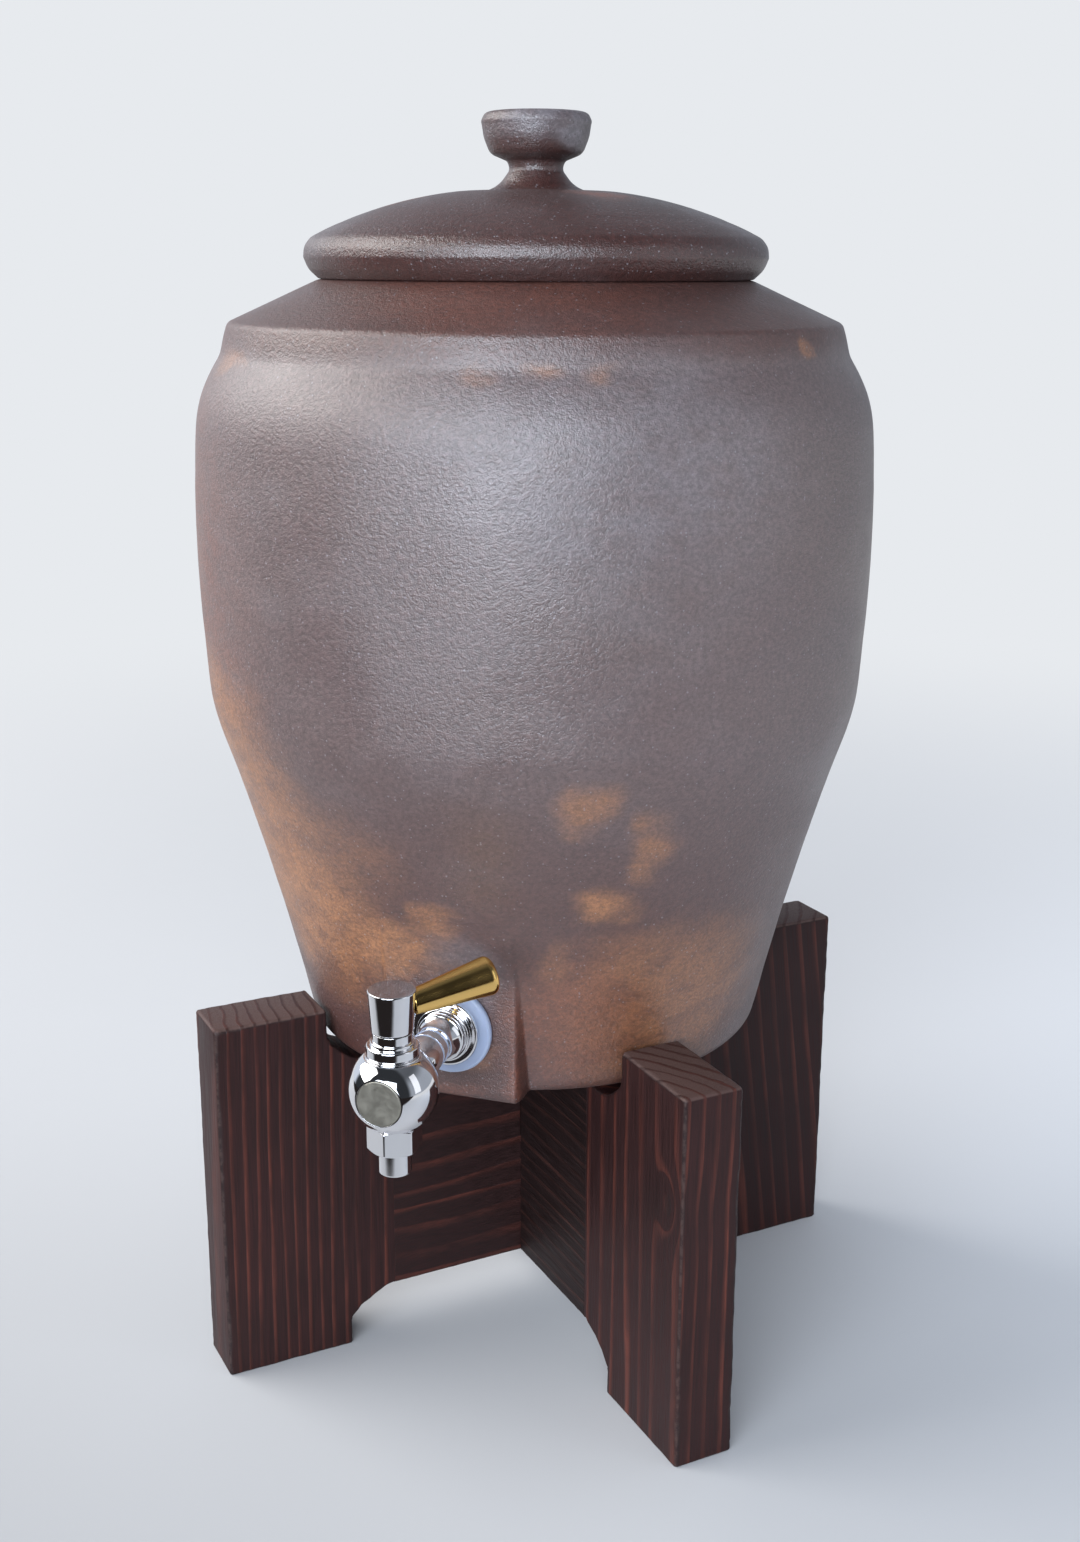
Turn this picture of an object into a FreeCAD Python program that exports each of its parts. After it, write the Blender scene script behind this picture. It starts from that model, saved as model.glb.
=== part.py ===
import FreeCAD, Part
import math
import os

import Sketcher

# A stoneware water pot with a lid and a lever tap, standing on a wooden cross stand.
# Lengths are in millimetres. The origin is on the pot's axis at floor level, +Z is up,
# the tap points along -Y and the stand's boards lie along the two diagonals.

DIMENSIONS = {
    # Wooden stand
    "board_thickness": 25.0,
    "leg_reach": 145.8,
    "leg_height": 152.9,
    "leg_joint": 71.5,
    "foot_inner": 91.3,
    "foot_rise": 11.0,
    "foot_cove_radius": 30.0,
    "rail_bottom": 23.6,
    "cradle_inner": 98.5,
    "cradle_step": 141.5,
    "cradle_low": 130.0,
    "cradle_cove_radius": 21.0,
    "arris_radius": 1.6,
    "lap_clearance": 0.1,
    "dowel_radius": 4.0,
    "dowel_half_length": 20.0,
    "dowel_low": 52.0,
    "dowel_high": 106.0,
    # Stoneware pot
    "pot_base": 134.0,
    "foot_radius": 85.0,
    "heel_radius": 93.4,
    "heel_top": 140.6,
    "heel_round": 8.0,
    "wall_bend_radius": 125.6,
    "wall_bend_height": 260.0,
    "wall_hollow": 1200.0,
    "belly_low_radius": 130.2,
    "belly_low_height": 287.0,
    "bend_round": 75.0,
    "belly_high_radius": 130.6,
    "belly_high_height": 384.0,
    "belly_round": 560.0,
    "shoulder_radius": 121.6,
    "shoulder_height": 404.4,
    "shoulder_round": 68.0,
    "band_low_radius": 120.6,
    "band_low_height": 406.6,
    "band_high_radius": 119.2,
    "band_high_height": 412.7,
    "collar_radius": 117.6,
    "collar_height": 417.6,
    "seat_radius": 82.5,
    "seat_height": 433.6,
    "mouth_radius": 64.0,
    "wall": 7.6,
    "floor_thickness": 9.5,
    "inner_heel_rise": 9.0,
    "inner_heel_round": 10.0,
    "inner_shoulder_drop": 5.0,
    "inner_cone_radius": 105.0,
    "inner_cone_height": 414.4,
    "rim_inner_radius": 84.0,
    "rim_thickness": 8.6,
    # Flattened tap panel and its hole
    "panel_reach": 100.3,
    "panel_half_width": 27.0,
    "panel_corner": 8.0,
    "panel_root": 60.0,
    "panel_straight": 182.0,
    "panel_top": 213.0,
    "panel_top_reach": 112.6,
    "panel_round": 45.5,
    "panel_cut_reach": 130.0,
    "panel_cut_low": 150.0,
    "boss_top": 204.0,
    "pad_reach": 85.0,
    "pad_root": 96.3,
    "pad_half_width": 23.0,
    "pad_bottom": 141.0,
    "pad_top": 188.0,
    "tap_height": 163.5,
    "tap_hole_radius": 8.6,
    # Lid
    "lid_radius": 88.8,
    "lid_rim_height": 443.4,
    "lid_edge_radius": 86.2,
    "lid_edge_height": 436.4,
    "lid_under_radius": 83.2,
    "lid_shoulder_radius": 84.6,
    "lid_shoulder_height": 449.4,
    "lid_flare_radius": 25.0,
    "lid_flare_height": 466.0,
    "lid_crown": 160.0,
    "lid_edge_round": 12.0,
    "lid_rim_round": 9.0,
    "lid_inner_top": 457.6,
    "lid_inner_rise": 12.0,
    "lid_inner_crown": 150.0,
    "lip_radius": 61.6,
    "lip_inner": 54.6,
    "lip_depth": 11.0,
    "neck_radius": 10.0,
    "neck_low": 473.4,
    "neck_high": 476.6,
    "neck_high_radius": 10.8,
    "neck_flare_radius": 12.0,
    "neck_flare_height": 470.6,
    "neck_flare_round": 12.5,
    "knob_low_radius": 17.4,
    "knob_low": 479.3,
    "knob_radius": 20.7,
    "knob_widest": 490.6,
    "knob_swell": 34.0,
    "knob_top": 494.3,
    "knob_edge": 3.6,
    "knob_edge_round": 3.7,
    # Tap, measured from the panel outwards
    "shank_inner_end": 27.0,
    "shank_radius": 7.9,
    "shank_bore": 4.6,
    "shank_chamfer": 1.0,
    "spigot_radius": 4.6,
    "spigot_bore": 3.1,
    "spigot_length": 8.0,
    "washer_radius": 17.2,
    "washer_thickness": 3.2,
    "washer_edge": 0.8,
    "flange_radius": 13.0,
    "flange_thickness": 2.6,
    "flange_edge": 0.9,
    "step_radius": 10.4,
    "step_thickness": 2.3,
    "step_edge": 0.7,
    "ring_thickness": 2.4,
    "ring_root": 8.4,
    "ring_round": 1.25,
    "waist_radius": 6.5,
    "waist_reach": 17.6,
    "waist_round": 9.5,
    "collar_disc_radius": 7.2,
    "collar_disc_start": 20.0,
    "collar_disc_end": 24.0,
    "neck_end_radius": 5.8,
    "neck_swell": 40.0,
    "ball_reach": 54.7,
    "ball_radius": 16.0,
    "ball_front": 13.4,
    "ball_top": 12.3,
    "ball_bottom": 12.9,
    "inlet_bore": 3.1,
    "chamber_radius": 6.4,
    "chamber_floor": 8.0,
    "outlet_bore": 4.2,
    "disc_radius": 8.3,
    "disc_depth": 1.2,
    "inner_washer_radius": 14.0,
    "inner_washer_thickness": 2.5,
    "nut_flats": 24.0,
    "nut_thickness": 6.0,
    "nut_chamfer": 1.2,
    # Tap, measured from the middle of the ball upwards
    "bonnet_skirt_radius": 7.5,
    "bonnet_bottom": 7.05,
    "bonnet_foot_radius": 9.6,
    "bonnet_foot_top": 13.1,
    "bonnet_foot_round": 0.45,
    "bonnet_groove_radius": 8.8,
    "bonnet_groove_top": 13.5,
    "bonnet_ring_radius": 9.3,
    "bonnet_ring_top": 16.9,
    "bonnet_step_radius": 7.9,
    "bonnet_step_top": 18.4,
    "bonnet_neck_radius": 7.1,
    "bonnet_top": 21.6,
    "cap_bottom": 22.0,
    "cap_bottom_radius": 7.45,
    "cap_top": 37.0,
    "cap_top_radius": 8.5,
    "cap_edge": 0.5,
    "plug_radius": 6.35,
    "plug_bottom": 7.9,
    "plug_top": 6.9,
    "stem_radius": 4.0,
    "stem_top": 34.0,
    "port_radius": 2.9,
    "port_top": 2.9,
    "groove_radius": 4.9,
    "groove_height": 5.3,
    "groove_half_width": 0.95,
    "stem_groove_radius": 2.9,
    "stem_groove_height": 12.0,
    "ring_section": 0.7,
    "stem_ring_section": 0.52,
    "fit_clearance": 0.05,
    "outlet_boss_radius": 7.0,
    "outlet_boss_length": 4.5,
    "outlet_nut_flats": 17.2,
    "outlet_nut_height": 9.6,
    "outlet_nut_chamfer": 1.3,
    "nozzle_radius": 5.9,
    "nozzle_bore": 4.2,
    "nozzle_end": 31.6,
    "nozzle_edge": 0.6,
    "nozzle_neck_radius": 6.3,
    "nozzle_flange_radius": 6.85,
    "nozzle_flange_thickness": 2.0,
    "seal_thickness": 1.2,
    # Lever, measured along its own axis from the middle of the cap
    "lever_height": 29.4,
    "lever_heading": 43.0,
    "lever_rise": 10.5,
    "tenon_radius": 2.5,
    "tenon_start": 1.0,
    "lever_start": 7.6,
    "lever_start_radius": 4.4,
    "lever_length": 38.6,
    "lever_end_radius": 7.1,
    "lever_edge": 2.6,
    "spot_face_clearance": 0.2,
    # How far a cut runs past the surface that it opens
    "overshoot": 1.0,
}

TOUCH = 0.01
NUT_CHAMFER_ANGLE = 30.0


class Size:
    """A length that keeps the sheet expression it comes from."""

    def __init__(self, text, value):
        self.text = text
        self.value = value

    @staticmethod
    def of(other):
        return other if isinstance(other, Size) else Size(repr(float(other)), float(other))

    def __add__(self, other):
        other = Size.of(other)
        return Size(f"({self.text} + {other.text})", self.value + other.value)

    def __sub__(self, other):
        other = Size.of(other)
        return Size(f"({self.text} - {other.text})", self.value - other.value)

    def __mul__(self, factor):
        factor = Size.of(factor)
        return Size(f"({self.text} * {factor.text})", self.value * factor.value)

    def __neg__(self):
        return Size(f"(0 - {self.text})", -self.value)

    def root(self):
        return Size(f"sqrt({self.text})", math.sqrt(self.value))


class Sizes:
    """The driving dimensions, written to a sheet and read back by name."""

    def __init__(self, document, table):
        self.sheet = document.addObject("Spreadsheet::Sheet", "sizes")
        self.table = table
        for row, (name, value) in enumerate(table.items(), start=1):
            self.sheet.set(f"A{row}", name)
            self.sheet.set(f"B{row}", str(value))
            self.sheet.setAlias(f"B{row}", name)

    def __getattr__(self, name):
        return Size(f"sizes.{name}", self.table[name])


doc = FreeCAD.newDocument("water_pot")
S = Sizes(doc, DIMENSIONS)
doc.recompute()
SUBPARTS = []


def bind(obj, path, size):
    """Drive one property of an object from the sheet."""
    obj.setExpression(path, Size.of(size).text)


def new_body(name, base=None, axis=(0, 0, 1), angle=0.0):
    """A body with a label of its own, set at a base point and turned about an axis."""
    body = doc.addObject("PartDesign::Body", name)
    body.Label = name
    body.Placement = FreeCAD.Placement(
        FreeCAD.Vector(0, 0, 0), FreeCAD.Rotation(FreeCAD.Vector(*axis), angle)
    )
    for letter, size in zip("xyz", base or ()):
        bind(body, f"Placement.Base.{letter}", size)
    SUBPARTS.append(body)
    return body


def new_sketch(body, name, role, offset=None):
    """A sketch on one of the body's own origin planes."""
    plane = next(f for f in body.Origin.OriginFeatures if f.Role == role)
    sketch = body.newObject("Sketcher::SketchObject", name)
    sketch.AttachmentSupport = (plane, [""])
    sketch.MapMode = "FlatFace"
    if offset is not None:
        bind(sketch, "AttachmentOffset.Base.z", offset)
    return sketch


def pin_point(sketch, geometry, end, x, y):
    """Hold one end of an edge at driven distances from the sketch's origin."""
    for kind, size in (("DistanceX", x), ("DistanceY", y)):
        index = sketch.addConstraint(Sketcher.Constraint(kind, -1, 1, geometry, end, size.value))
        bind(sketch, f"Constraints[{index}]", size)


def arc_between(start, finish, radius, side):
    """An arc of a given radius that bulges left (+1) or right (-1) of its chord."""
    chord = finish - start
    middle = (start + finish) * 0.5
    across = FreeCAD.Vector(-chord.y, chord.x, 0).normalize()
    half = chord.Length / 2
    rise = radius - math.sqrt(radius * radius - half * half)
    return Part.Arc(start, middle + across * (rise * side), finish)


def outline(sketch, corners):
    """Draw a closed outline. A corner is (x, y), or (x, y, radius, side) at the end of an arc."""
    corners = [tuple(Size.of(size) for size in corner[:3]) + corner[3:] for corner in corners]
    points = [FreeCAD.Vector(corner[0].value, corner[1].value, 0) for corner in corners]
    ends = []
    for number, corner in enumerate(corners):
        start, finish = points[number - 1], points[number]
        if len(corner) > 2:
            radius, side = corner[2:]
            edge = sketch.addGeometry(arc_between(start, finish, radius.value, side), False)
            held = sketch.addConstraint(Sketcher.Constraint("Radius", edge, radius.value))
            bind(sketch, f"Constraints[{held}]", radius)
            # An arc is kept anticlockwise, so it ends at its corner only when it bulges right.
            far_end = 1 if side > 0 else 2
        else:
            edge = sketch.addGeometry(Part.LineSegment(start, finish), False)
            far_end = 2
        pin_point(sketch, edge, far_end, corner[0], corner[1])
        ends.append((edge, 3 - far_end, far_end))
    for before, after in zip(ends[-1:] + ends[:-1], ends):
        sketch.addConstraint(Sketcher.Constraint("Coincident", before[0], before[2], after[0], after[1]))
    return sketch


def circle(sketch, x, y, radius):
    """Draw a driven circle."""
    x, y, radius = Size.of(x), Size.of(y), Size.of(radius)
    centre = FreeCAD.Vector(x.value, y.value, 0)
    edge = sketch.addGeometry(Part.Circle(centre, FreeCAD.Vector(0, 0, 1), radius.value), False)
    pin_point(sketch, edge, 3, x, y)
    held = sketch.addConstraint(Sketcher.Constraint("Radius", edge, radius.value))
    bind(sketch, f"Constraints[{held}]", radius)
    return sketch


def turned(body, name, corners, cut=False):
    """Spin an outline in the body's XZ plane about its Z axis, as stock or as a cut."""
    sketch = outline(new_sketch(body, f"{name}_outline", "XZ_Plane"), corners)
    feature = body.newObject("PartDesign::Groove" if cut else "PartDesign::Revolution", name)
    feature.Profile = sketch
    feature.ReferenceAxis = (sketch, ["V_Axis"])
    feature.Angle = 360
    return feature


def padded(body, name, sketch, length, midplane=False):
    """Thicken a sketch into stock."""
    pad = body.newObject("PartDesign::Pad", name)
    pad.Profile = sketch
    bind(pad, "Length", length)
    pad.Midplane = midplane
    return pad


def pocketed(body, name, sketch, depth, midplane=False, reverse=False):
    """Cut a sketch out of the body; reversed cuts go along the sketch's normal."""
    pocket = body.newObject("PartDesign::Pocket", name)
    pocket.Profile = sketch
    bind(pocket, "Length", depth)
    pocket.Midplane = midplane
    pocket.Reversed = reverse
    return pocket


def rounded(body, name, feature, radius, choose):
    """Round the edges of a feature that a test picks out."""
    doc.recompute()
    names = [f"Edge{i}" for i, edge in enumerate(feature.Shape.Edges, start=1) if choose(edge)]
    fillet = body.newObject("PartDesign::Fillet", name)
    fillet.Base = (feature, names)
    bind(fillet, "Radius", radius)
    return fillet


def hexagon(flats):
    """The six corners of a hexagon, one of them on the +X axis."""
    corner = flats * (1 / math.sqrt(3))
    turns = [math.radians(60 * step) for step in range(6)]
    return [(corner * math.cos(turn), corner * math.sin(turn)) for turn in turns]


def corner_cut(body, name, flats, chamfer, low, high):
    """Turn down a hexagon's corners at both ends, as a nut is chamfered."""
    corner = flats * (1 / math.sqrt(3))
    outside = corner + S.overshoot
    inside = corner - chamfer
    drop = chamfer * math.tan(math.radians(NUT_CHAMFER_ANGLE))
    turned(body, f"{name}_low", [(inside, low), (outside, low), (outside, low + drop)], cut=True)
    turned(body, f"{name}_high", [(inside, high), (outside, high - drop), (outside, high)], cut=True)


def heading(yaw, rise):
    """The turn that lays a body's Z axis along a heading and lifts it by a rise."""
    yaw, rise = math.radians(yaw), math.radians(rise)
    level = math.cos(rise)
    aim = FreeCAD.Vector(level * math.cos(yaw), level * math.sin(yaw), math.sin(rise))
    return FreeCAD.Rotation(FreeCAD.Vector(0, 0, 1), aim)


# Wooden cross stand: two boards halved together, each with an upright leg at both ends

LEGS = {"leg_front_left": 225, "leg_front_right": 315, "leg_rear_right": 45, "leg_rear_left": 135}
LEG_OUTLINE = [
    (S.foot_inner, 0),
    (S.leg_reach, 0),
    (S.leg_reach, S.leg_height),
    (S.cradle_inner, S.leg_height),
    (S.cradle_inner, S.cradle_step),
    (S.leg_joint, S.cradle_low, S.cradle_cove_radius, 1),
    (S.leg_joint, S.rail_bottom),
    (S.foot_inner, S.foot_rise, S.foot_cove_radius, 1),
]
DOWEL_HEIGHTS = (S.dowel_low, S.dowel_high)


def is_leg_arris(edge):
    """True for the edges around a leg's two faces, away from its glued end."""
    joint = DIMENSIONS["leg_joint"] + TOUCH
    half = DIMENSIONS["board_thickness"] / 2 - TOUCH
    on_face = all(abs(vertex.Y) > half for vertex in edge.Vertexes)
    return on_face and edge.BoundBox.XMax > joint


def leg(name, angle):
    """An upright leg board with a cove at its foot and a cradle for the pot at its top."""
    body = new_body(name, angle=angle)
    sketch = outline(new_sketch(body, f"{name}_side", "XZ_Plane"), LEG_OUTLINE)
    board = padded(body, f"{name}_board", sketch, S.board_thickness, midplane=True)
    rounded(body, f"{name}_arrises", board, S.arris_radius, is_leg_arris)
    holes = new_sketch(body, f"{name}_dowels", "YZ_Plane", S.leg_joint)
    for height in DOWEL_HEIGHTS:
        circle(holes, 0, height, S.dowel_radius)
    pocketed(body, f"{name}_drilling", holes, S.dowel_half_length, reverse=True)


def rail(name, angle, slot_above):
    """A level board with a slot at its middle, where the other board crosses it."""
    body = new_body(name, angle=angle)
    half_slot = S.board_thickness * 0.5 + S.lap_clearance
    middle = (S.rail_bottom + S.pot_base) * 0.5
    end = S.leg_joint
    if slot_above:
        corners = [
            (-end, S.rail_bottom), (end, S.rail_bottom), (end, S.pot_base), (half_slot, S.pot_base),
            (half_slot, middle), (-half_slot, middle), (-half_slot, S.pot_base), (-end, S.pot_base),
        ]
    else:
        corners = [
            (-end, S.rail_bottom), (-half_slot, S.rail_bottom), (-half_slot, middle), (half_slot, middle),
            (half_slot, S.rail_bottom), (end, S.rail_bottom), (end, S.pot_base), (-end, S.pot_base),
        ]
    sketch = outline(new_sketch(body, f"{name}_side", "XZ_Plane"), corners)
    padded(body, f"{name}_board", sketch, S.board_thickness, midplane=True)
    for end_name, offset, outward in (("near", -end, True), ("far", end, False)):
        holes = new_sketch(body, f"{name}_{end_name}_dowels", "YZ_Plane", offset)
        for height in DOWEL_HEIGHTS:
            circle(holes, 0, height, S.dowel_radius)
        pocketed(body, f"{name}_{end_name}_drilling", holes, S.dowel_half_length, reverse=outward)


def group(name, members, base=None):
    """Several loose pieces of one kind under one label."""
    compound = doc.addObject("Part::Compound", name)
    compound.Label = name
    compound.Links = members
    for letter, size in zip("xyz", base or ()):
        bind(compound, f"Placement.Base.{letter}", size)
    SUBPARTS.append(compound)
    return compound


def dowels(name, angle):
    """The four dowels that pin a rail to its two legs."""
    members = []
    for side in (-1, 1):
        for level, height in enumerate(DOWEL_HEIGHTS):
            pin = doc.addObject("Part::Cylinder", f"{name}_pin_{side + 1}_{level}")
            bind(pin, "Radius", S.dowel_radius)
            bind(pin, "Height", S.dowel_half_length * 2)
            pin.Placement.Rotation = FreeCAD.Rotation(FreeCAD.Vector(0, 1, 0), 90)
            bind(pin, "Placement.Base.x", S.leg_joint * side - S.dowel_half_length)
            bind(pin, "Placement.Base.z", height)
            members.append(pin)
    bundle = group(name, members)
    bundle.Placement.Rotation = FreeCAD.Rotation(FreeCAD.Vector(0, 0, 1), angle)
    return bundle


rail("rail_lower", 45, slot_above=True)
rail("rail_upper", 135, slot_above=False)
for leg_name, leg_angle in LEGS.items():
    leg(leg_name, leg_angle)
dowels("dowels_lower_rail", 45)
dowels("dowels_upper_rail", 135)


# Stoneware pot: a thrown wall with a flattened panel for the tap

pot = new_body("pot_body")
turned(pot, "pot_wall", [
    (0, S.pot_base),
    (S.foot_radius, S.pot_base),
    (S.heel_radius, S.heel_top, S.heel_round, -1),
    (S.wall_bend_radius, S.wall_bend_height, S.wall_hollow, 1),
    (S.belly_low_radius, S.belly_low_height, S.bend_round, -1),
    (S.belly_high_radius, S.belly_high_height, S.belly_round, -1),
    (S.shoulder_radius, S.shoulder_height, S.shoulder_round, -1),
    (S.band_low_radius, S.band_low_height),
    (S.band_high_radius, S.band_high_height),
    (S.collar_radius, S.collar_height),
    (S.seat_radius, S.seat_height),
    (0, S.seat_height),
])

boss_plan = outline(new_sketch(pot, "boss_plan", "XY_Plane", S.pot_base), [
    (-S.panel_half_width, -S.panel_root),
    (-S.panel_half_width, S.panel_corner - S.panel_reach),
    (S.panel_corner - S.panel_half_width, -S.panel_reach, S.panel_corner, -1),
    (S.panel_half_width - S.panel_corner, -S.panel_reach),
    (S.panel_half_width, S.panel_corner - S.panel_reach, S.panel_corner, -1),
    (S.panel_half_width, -S.panel_root),
])
padded(pot, "tap_boss", boss_plan, S.boss_top - S.pot_base)

# The panel's side view: upright behind the tap, then leaning out to meet the wall
panel_side = outline(new_sketch(pot, "panel_side", "YZ_Plane"), [
    (-S.panel_reach, S.panel_cut_low),
    (-S.panel_reach, S.panel_straight),
    (-S.panel_top_reach, S.panel_top, S.panel_round, -1),
    (-S.panel_cut_reach, S.panel_top),
    (-S.panel_cut_reach, S.panel_cut_low),
])
pocketed(pot, "panel_flat", panel_side, S.panel_half_width * 2, midplane=True)

turned(pot, "hollow", [
    (0, S.pot_base + S.floor_thickness),
    (S.foot_radius - S.wall, S.pot_base + S.floor_thickness),
    (S.heel_radius - S.wall, S.heel_top + S.inner_heel_rise, S.inner_heel_round, -1),
    (S.wall_bend_radius - S.wall, S.wall_bend_height, S.wall_hollow, 1),
    (S.belly_low_radius - S.wall, S.belly_low_height, S.bend_round, -1),
    (S.belly_high_radius - S.wall, S.belly_high_height, S.belly_round, -1),
    (S.shoulder_radius - S.wall, S.shoulder_height - S.inner_shoulder_drop, S.shoulder_round, -1),
    (S.inner_cone_radius, S.inner_cone_height),
    (S.rim_inner_radius, S.seat_height - S.rim_thickness),
    (S.mouth_radius, S.seat_height - S.rim_thickness),
    (S.mouth_radius, S.seat_height + S.overshoot),
    (0, S.seat_height + S.overshoot),
], cut=True)

# A clay pad inside gives the nut a flat seat
pad_plan = outline(new_sketch(pot, "pad_plan", "XY_Plane", S.pad_bottom), [
    (-S.pad_half_width, -S.pad_reach),
    (-S.pad_half_width, -S.pad_root),
    (S.pad_half_width, -S.pad_root),
    (S.pad_half_width, -S.pad_reach),
])
padded(pot, "inner_pad", pad_plan, S.pad_top - S.pad_bottom)
tap_hole = circle(new_sketch(pot, "tap_hole_plan", "XZ_Plane"), 0, S.tap_height, S.tap_hole_radius)
pocketed(pot, "tap_hole", tap_hole, S.panel_cut_reach, reverse=True)


# Lid: a thrown dome with a knob above and a locating lip below

lid = new_body("lid")
turned(lid, "lid_dome", [
    (0, S.lid_inner_top),
    (S.lip_inner, S.seat_height + S.lid_inner_rise, S.lid_inner_crown, 1),
    (S.lip_inner, S.seat_height - S.lip_depth),
    (S.lip_radius, S.seat_height - S.lip_depth),
    (S.lip_radius, S.seat_height),
    (S.lid_under_radius, S.seat_height),
    (S.lid_edge_radius, S.lid_edge_height),
    (S.lid_radius, S.lid_rim_height, S.lid_edge_round, -1),
    (S.lid_shoulder_radius, S.lid_shoulder_height, S.lid_rim_round, -1),
    (S.lid_flare_radius, S.lid_flare_height, S.lid_crown, -1),
    (S.neck_flare_radius, S.neck_flare_height, S.neck_flare_round, 1),
    (S.neck_radius, S.neck_low),
    (S.neck_high_radius, S.neck_high),
    (S.knob_low_radius, S.knob_low),
    (S.knob_radius, S.knob_widest, S.knob_swell, -1),
    (S.knob_radius - S.knob_edge, S.knob_top, S.knob_edge_round, -1),
    (0, S.knob_top),
])


# Tap: pieces on the shank's axis, measured outwards from the panel

def on_shank(name):
    """A body whose Z axis runs out of the panel and whose Y axis points up."""
    return new_body(name, (0, -S.panel_reach, S.tap_height), axis=(1, 0, 0), angle=90)


def on_stem(name):
    """A body whose Z axis runs up through the middle of the tap's ball."""
    return new_body(name, (0, -(S.panel_reach + S.ball_reach), S.tap_height))


flange_front = S.washer_thickness + S.flange_thickness
step_front = flange_front + S.step_thickness
ring_front = step_front + S.ring_thickness

shank = on_shank("shank")
turned(shank, "shank_turning", [
    (S.shank_bore, -S.shank_inner_end),
    (S.shank_radius - S.shank_chamfer, -S.shank_inner_end),
    (S.shank_radius, S.shank_chamfer - S.shank_inner_end),
    (S.shank_radius, S.washer_thickness),
    (S.flange_radius, S.washer_thickness),
    (S.flange_radius, flange_front - S.flange_edge),
    (S.flange_radius - S.flange_edge, flange_front, S.flange_edge, -1),
    (S.step_radius, flange_front),
    (S.step_radius, step_front - S.step_edge),
    (S.step_radius - S.step_edge, step_front, S.step_edge, -1),
    (S.ring_root, step_front),
    (S.ring_root, ring_front, S.ring_round, -1),
    (S.waist_radius, S.waist_reach, S.waist_round, 1),
    (S.waist_radius, S.collar_disc_start),
    (S.collar_disc_radius, S.collar_disc_start),
    (S.collar_disc_radius, S.collar_disc_end),
    (S.spigot_radius, S.collar_disc_end),
    (S.spigot_radius, S.collar_disc_end + S.spigot_length),
    (S.spigot_bore, S.collar_disc_end + S.spigot_length),
    (S.spigot_bore, flange_front),
    (S.shank_bore, S.washer_thickness),
])

outer_washer = on_shank("outer_washer")
turned(outer_washer, "outer_washer_ring", [
    (S.shank_radius, 0),
    (S.washer_radius - S.washer_edge, 0),
    (S.washer_radius, S.washer_edge, S.washer_edge, -1),
    (S.washer_radius, S.washer_thickness - S.washer_edge),
    (S.washer_radius - S.washer_edge, S.washer_thickness, S.washer_edge, -1),
    (S.shank_radius, S.washer_thickness),
])

pad_face = S.pad_reach - S.panel_reach
washer_back = pad_face - S.inner_washer_thickness
inner_washer = on_shank("inner_washer")
turned(inner_washer, "inner_washer_ring", [
    (S.shank_radius, washer_back),
    (S.inner_washer_radius, washer_back),
    (S.inner_washer_radius, pad_face),
    (S.shank_radius, pad_face),
])

nut_back = washer_back - S.nut_thickness
back_nut = on_shank("back_nut")
nut_plan = outline(new_sketch(back_nut, "back_nut_plan", "XY_Plane", nut_back), hexagon(S.nut_flats))
circle(nut_plan, 0, 0, S.shank_radius)
padded(back_nut, "back_nut_blank", nut_plan, S.nut_thickness)
corner_cut(back_nut, "back_nut_chamfer", S.nut_flats, S.nut_chamfer, nut_back, washer_back)

ball_back = S.ball_reach - (S.ball_radius * S.ball_radius - S.neck_end_radius * S.neck_end_radius).root()
flat_radius = (S.ball_radius * S.ball_radius - S.ball_front * S.ball_front).root()
ball_face = S.ball_reach + S.ball_front
tap_body = on_shank("tap_body")
turned(tap_body, "ball", [
    (0, S.collar_disc_end),
    (S.collar_disc_radius, S.collar_disc_end),
    (S.neck_end_radius, ball_back, S.neck_swell, -1),
    (flat_radius, ball_face, S.ball_radius, -1),
    (S.disc_radius, ball_face),
    (S.disc_radius, ball_face - S.disc_depth),
    (0, ball_face - S.disc_depth),
])


def across_ball(name, offset, radius):
    """A round sketch over the ball's middle, set at a height; its normal points down."""
    return circle(new_sketch(tap_body, name, "XZ_Plane", offset), 0, S.ball_reach, radius)


pocketed(tap_body, "top_flat", across_ball("top_flat_plan", -S.ball_top, S.ball_radius), S.ball_radius)
pocketed(
    tap_body, "bottom_flat", across_ball("bottom_flat_plan", S.ball_bottom, S.ball_radius),
    S.ball_radius, reverse=True,
)
padded(
    tap_body, "outlet_boss", across_ball("outlet_boss_plan", S.ball_bottom, S.outlet_boss_radius),
    S.outlet_boss_length,
)
pocketed(
    tap_body, "bonnet_seat", across_ball("bonnet_seat_plan", -S.ball_top, S.bonnet_skirt_radius),
    S.ball_top - S.bonnet_bottom, reverse=True,
)
pocketed(
    tap_body, "chamber", across_ball("chamber_plan", -S.ball_top, S.chamber_radius),
    S.ball_top + S.chamber_floor, reverse=True,
)
pocketed(
    tap_body, "outlet", across_ball("outlet_plan", 0, S.outlet_bore), S.ball_radius * 2, reverse=True,
)
for bore_name, bore_radius, bore_length in (
    ("spigot_socket", S.spigot_radius, S.spigot_length),
    ("inlet", S.inlet_bore, S.ball_reach - S.collar_disc_end),
):
    bore_plan = new_sketch(tap_body, f"{bore_name}_plan", "XY_Plane", S.collar_disc_end)
    pocketed(tap_body, bore_name, circle(bore_plan, 0, 0, bore_radius), bore_length, reverse=True)

front_disc = on_shank("front_disc")
turned(front_disc, "front_disc_turning", [
    (0, ball_face - S.disc_depth),
    (S.disc_radius, ball_face - S.disc_depth),
    (S.disc_radius, ball_face),
    (0, ball_face),
])


# Tap: pieces on the stem's axis, measured upwards from the middle of the ball

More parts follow.
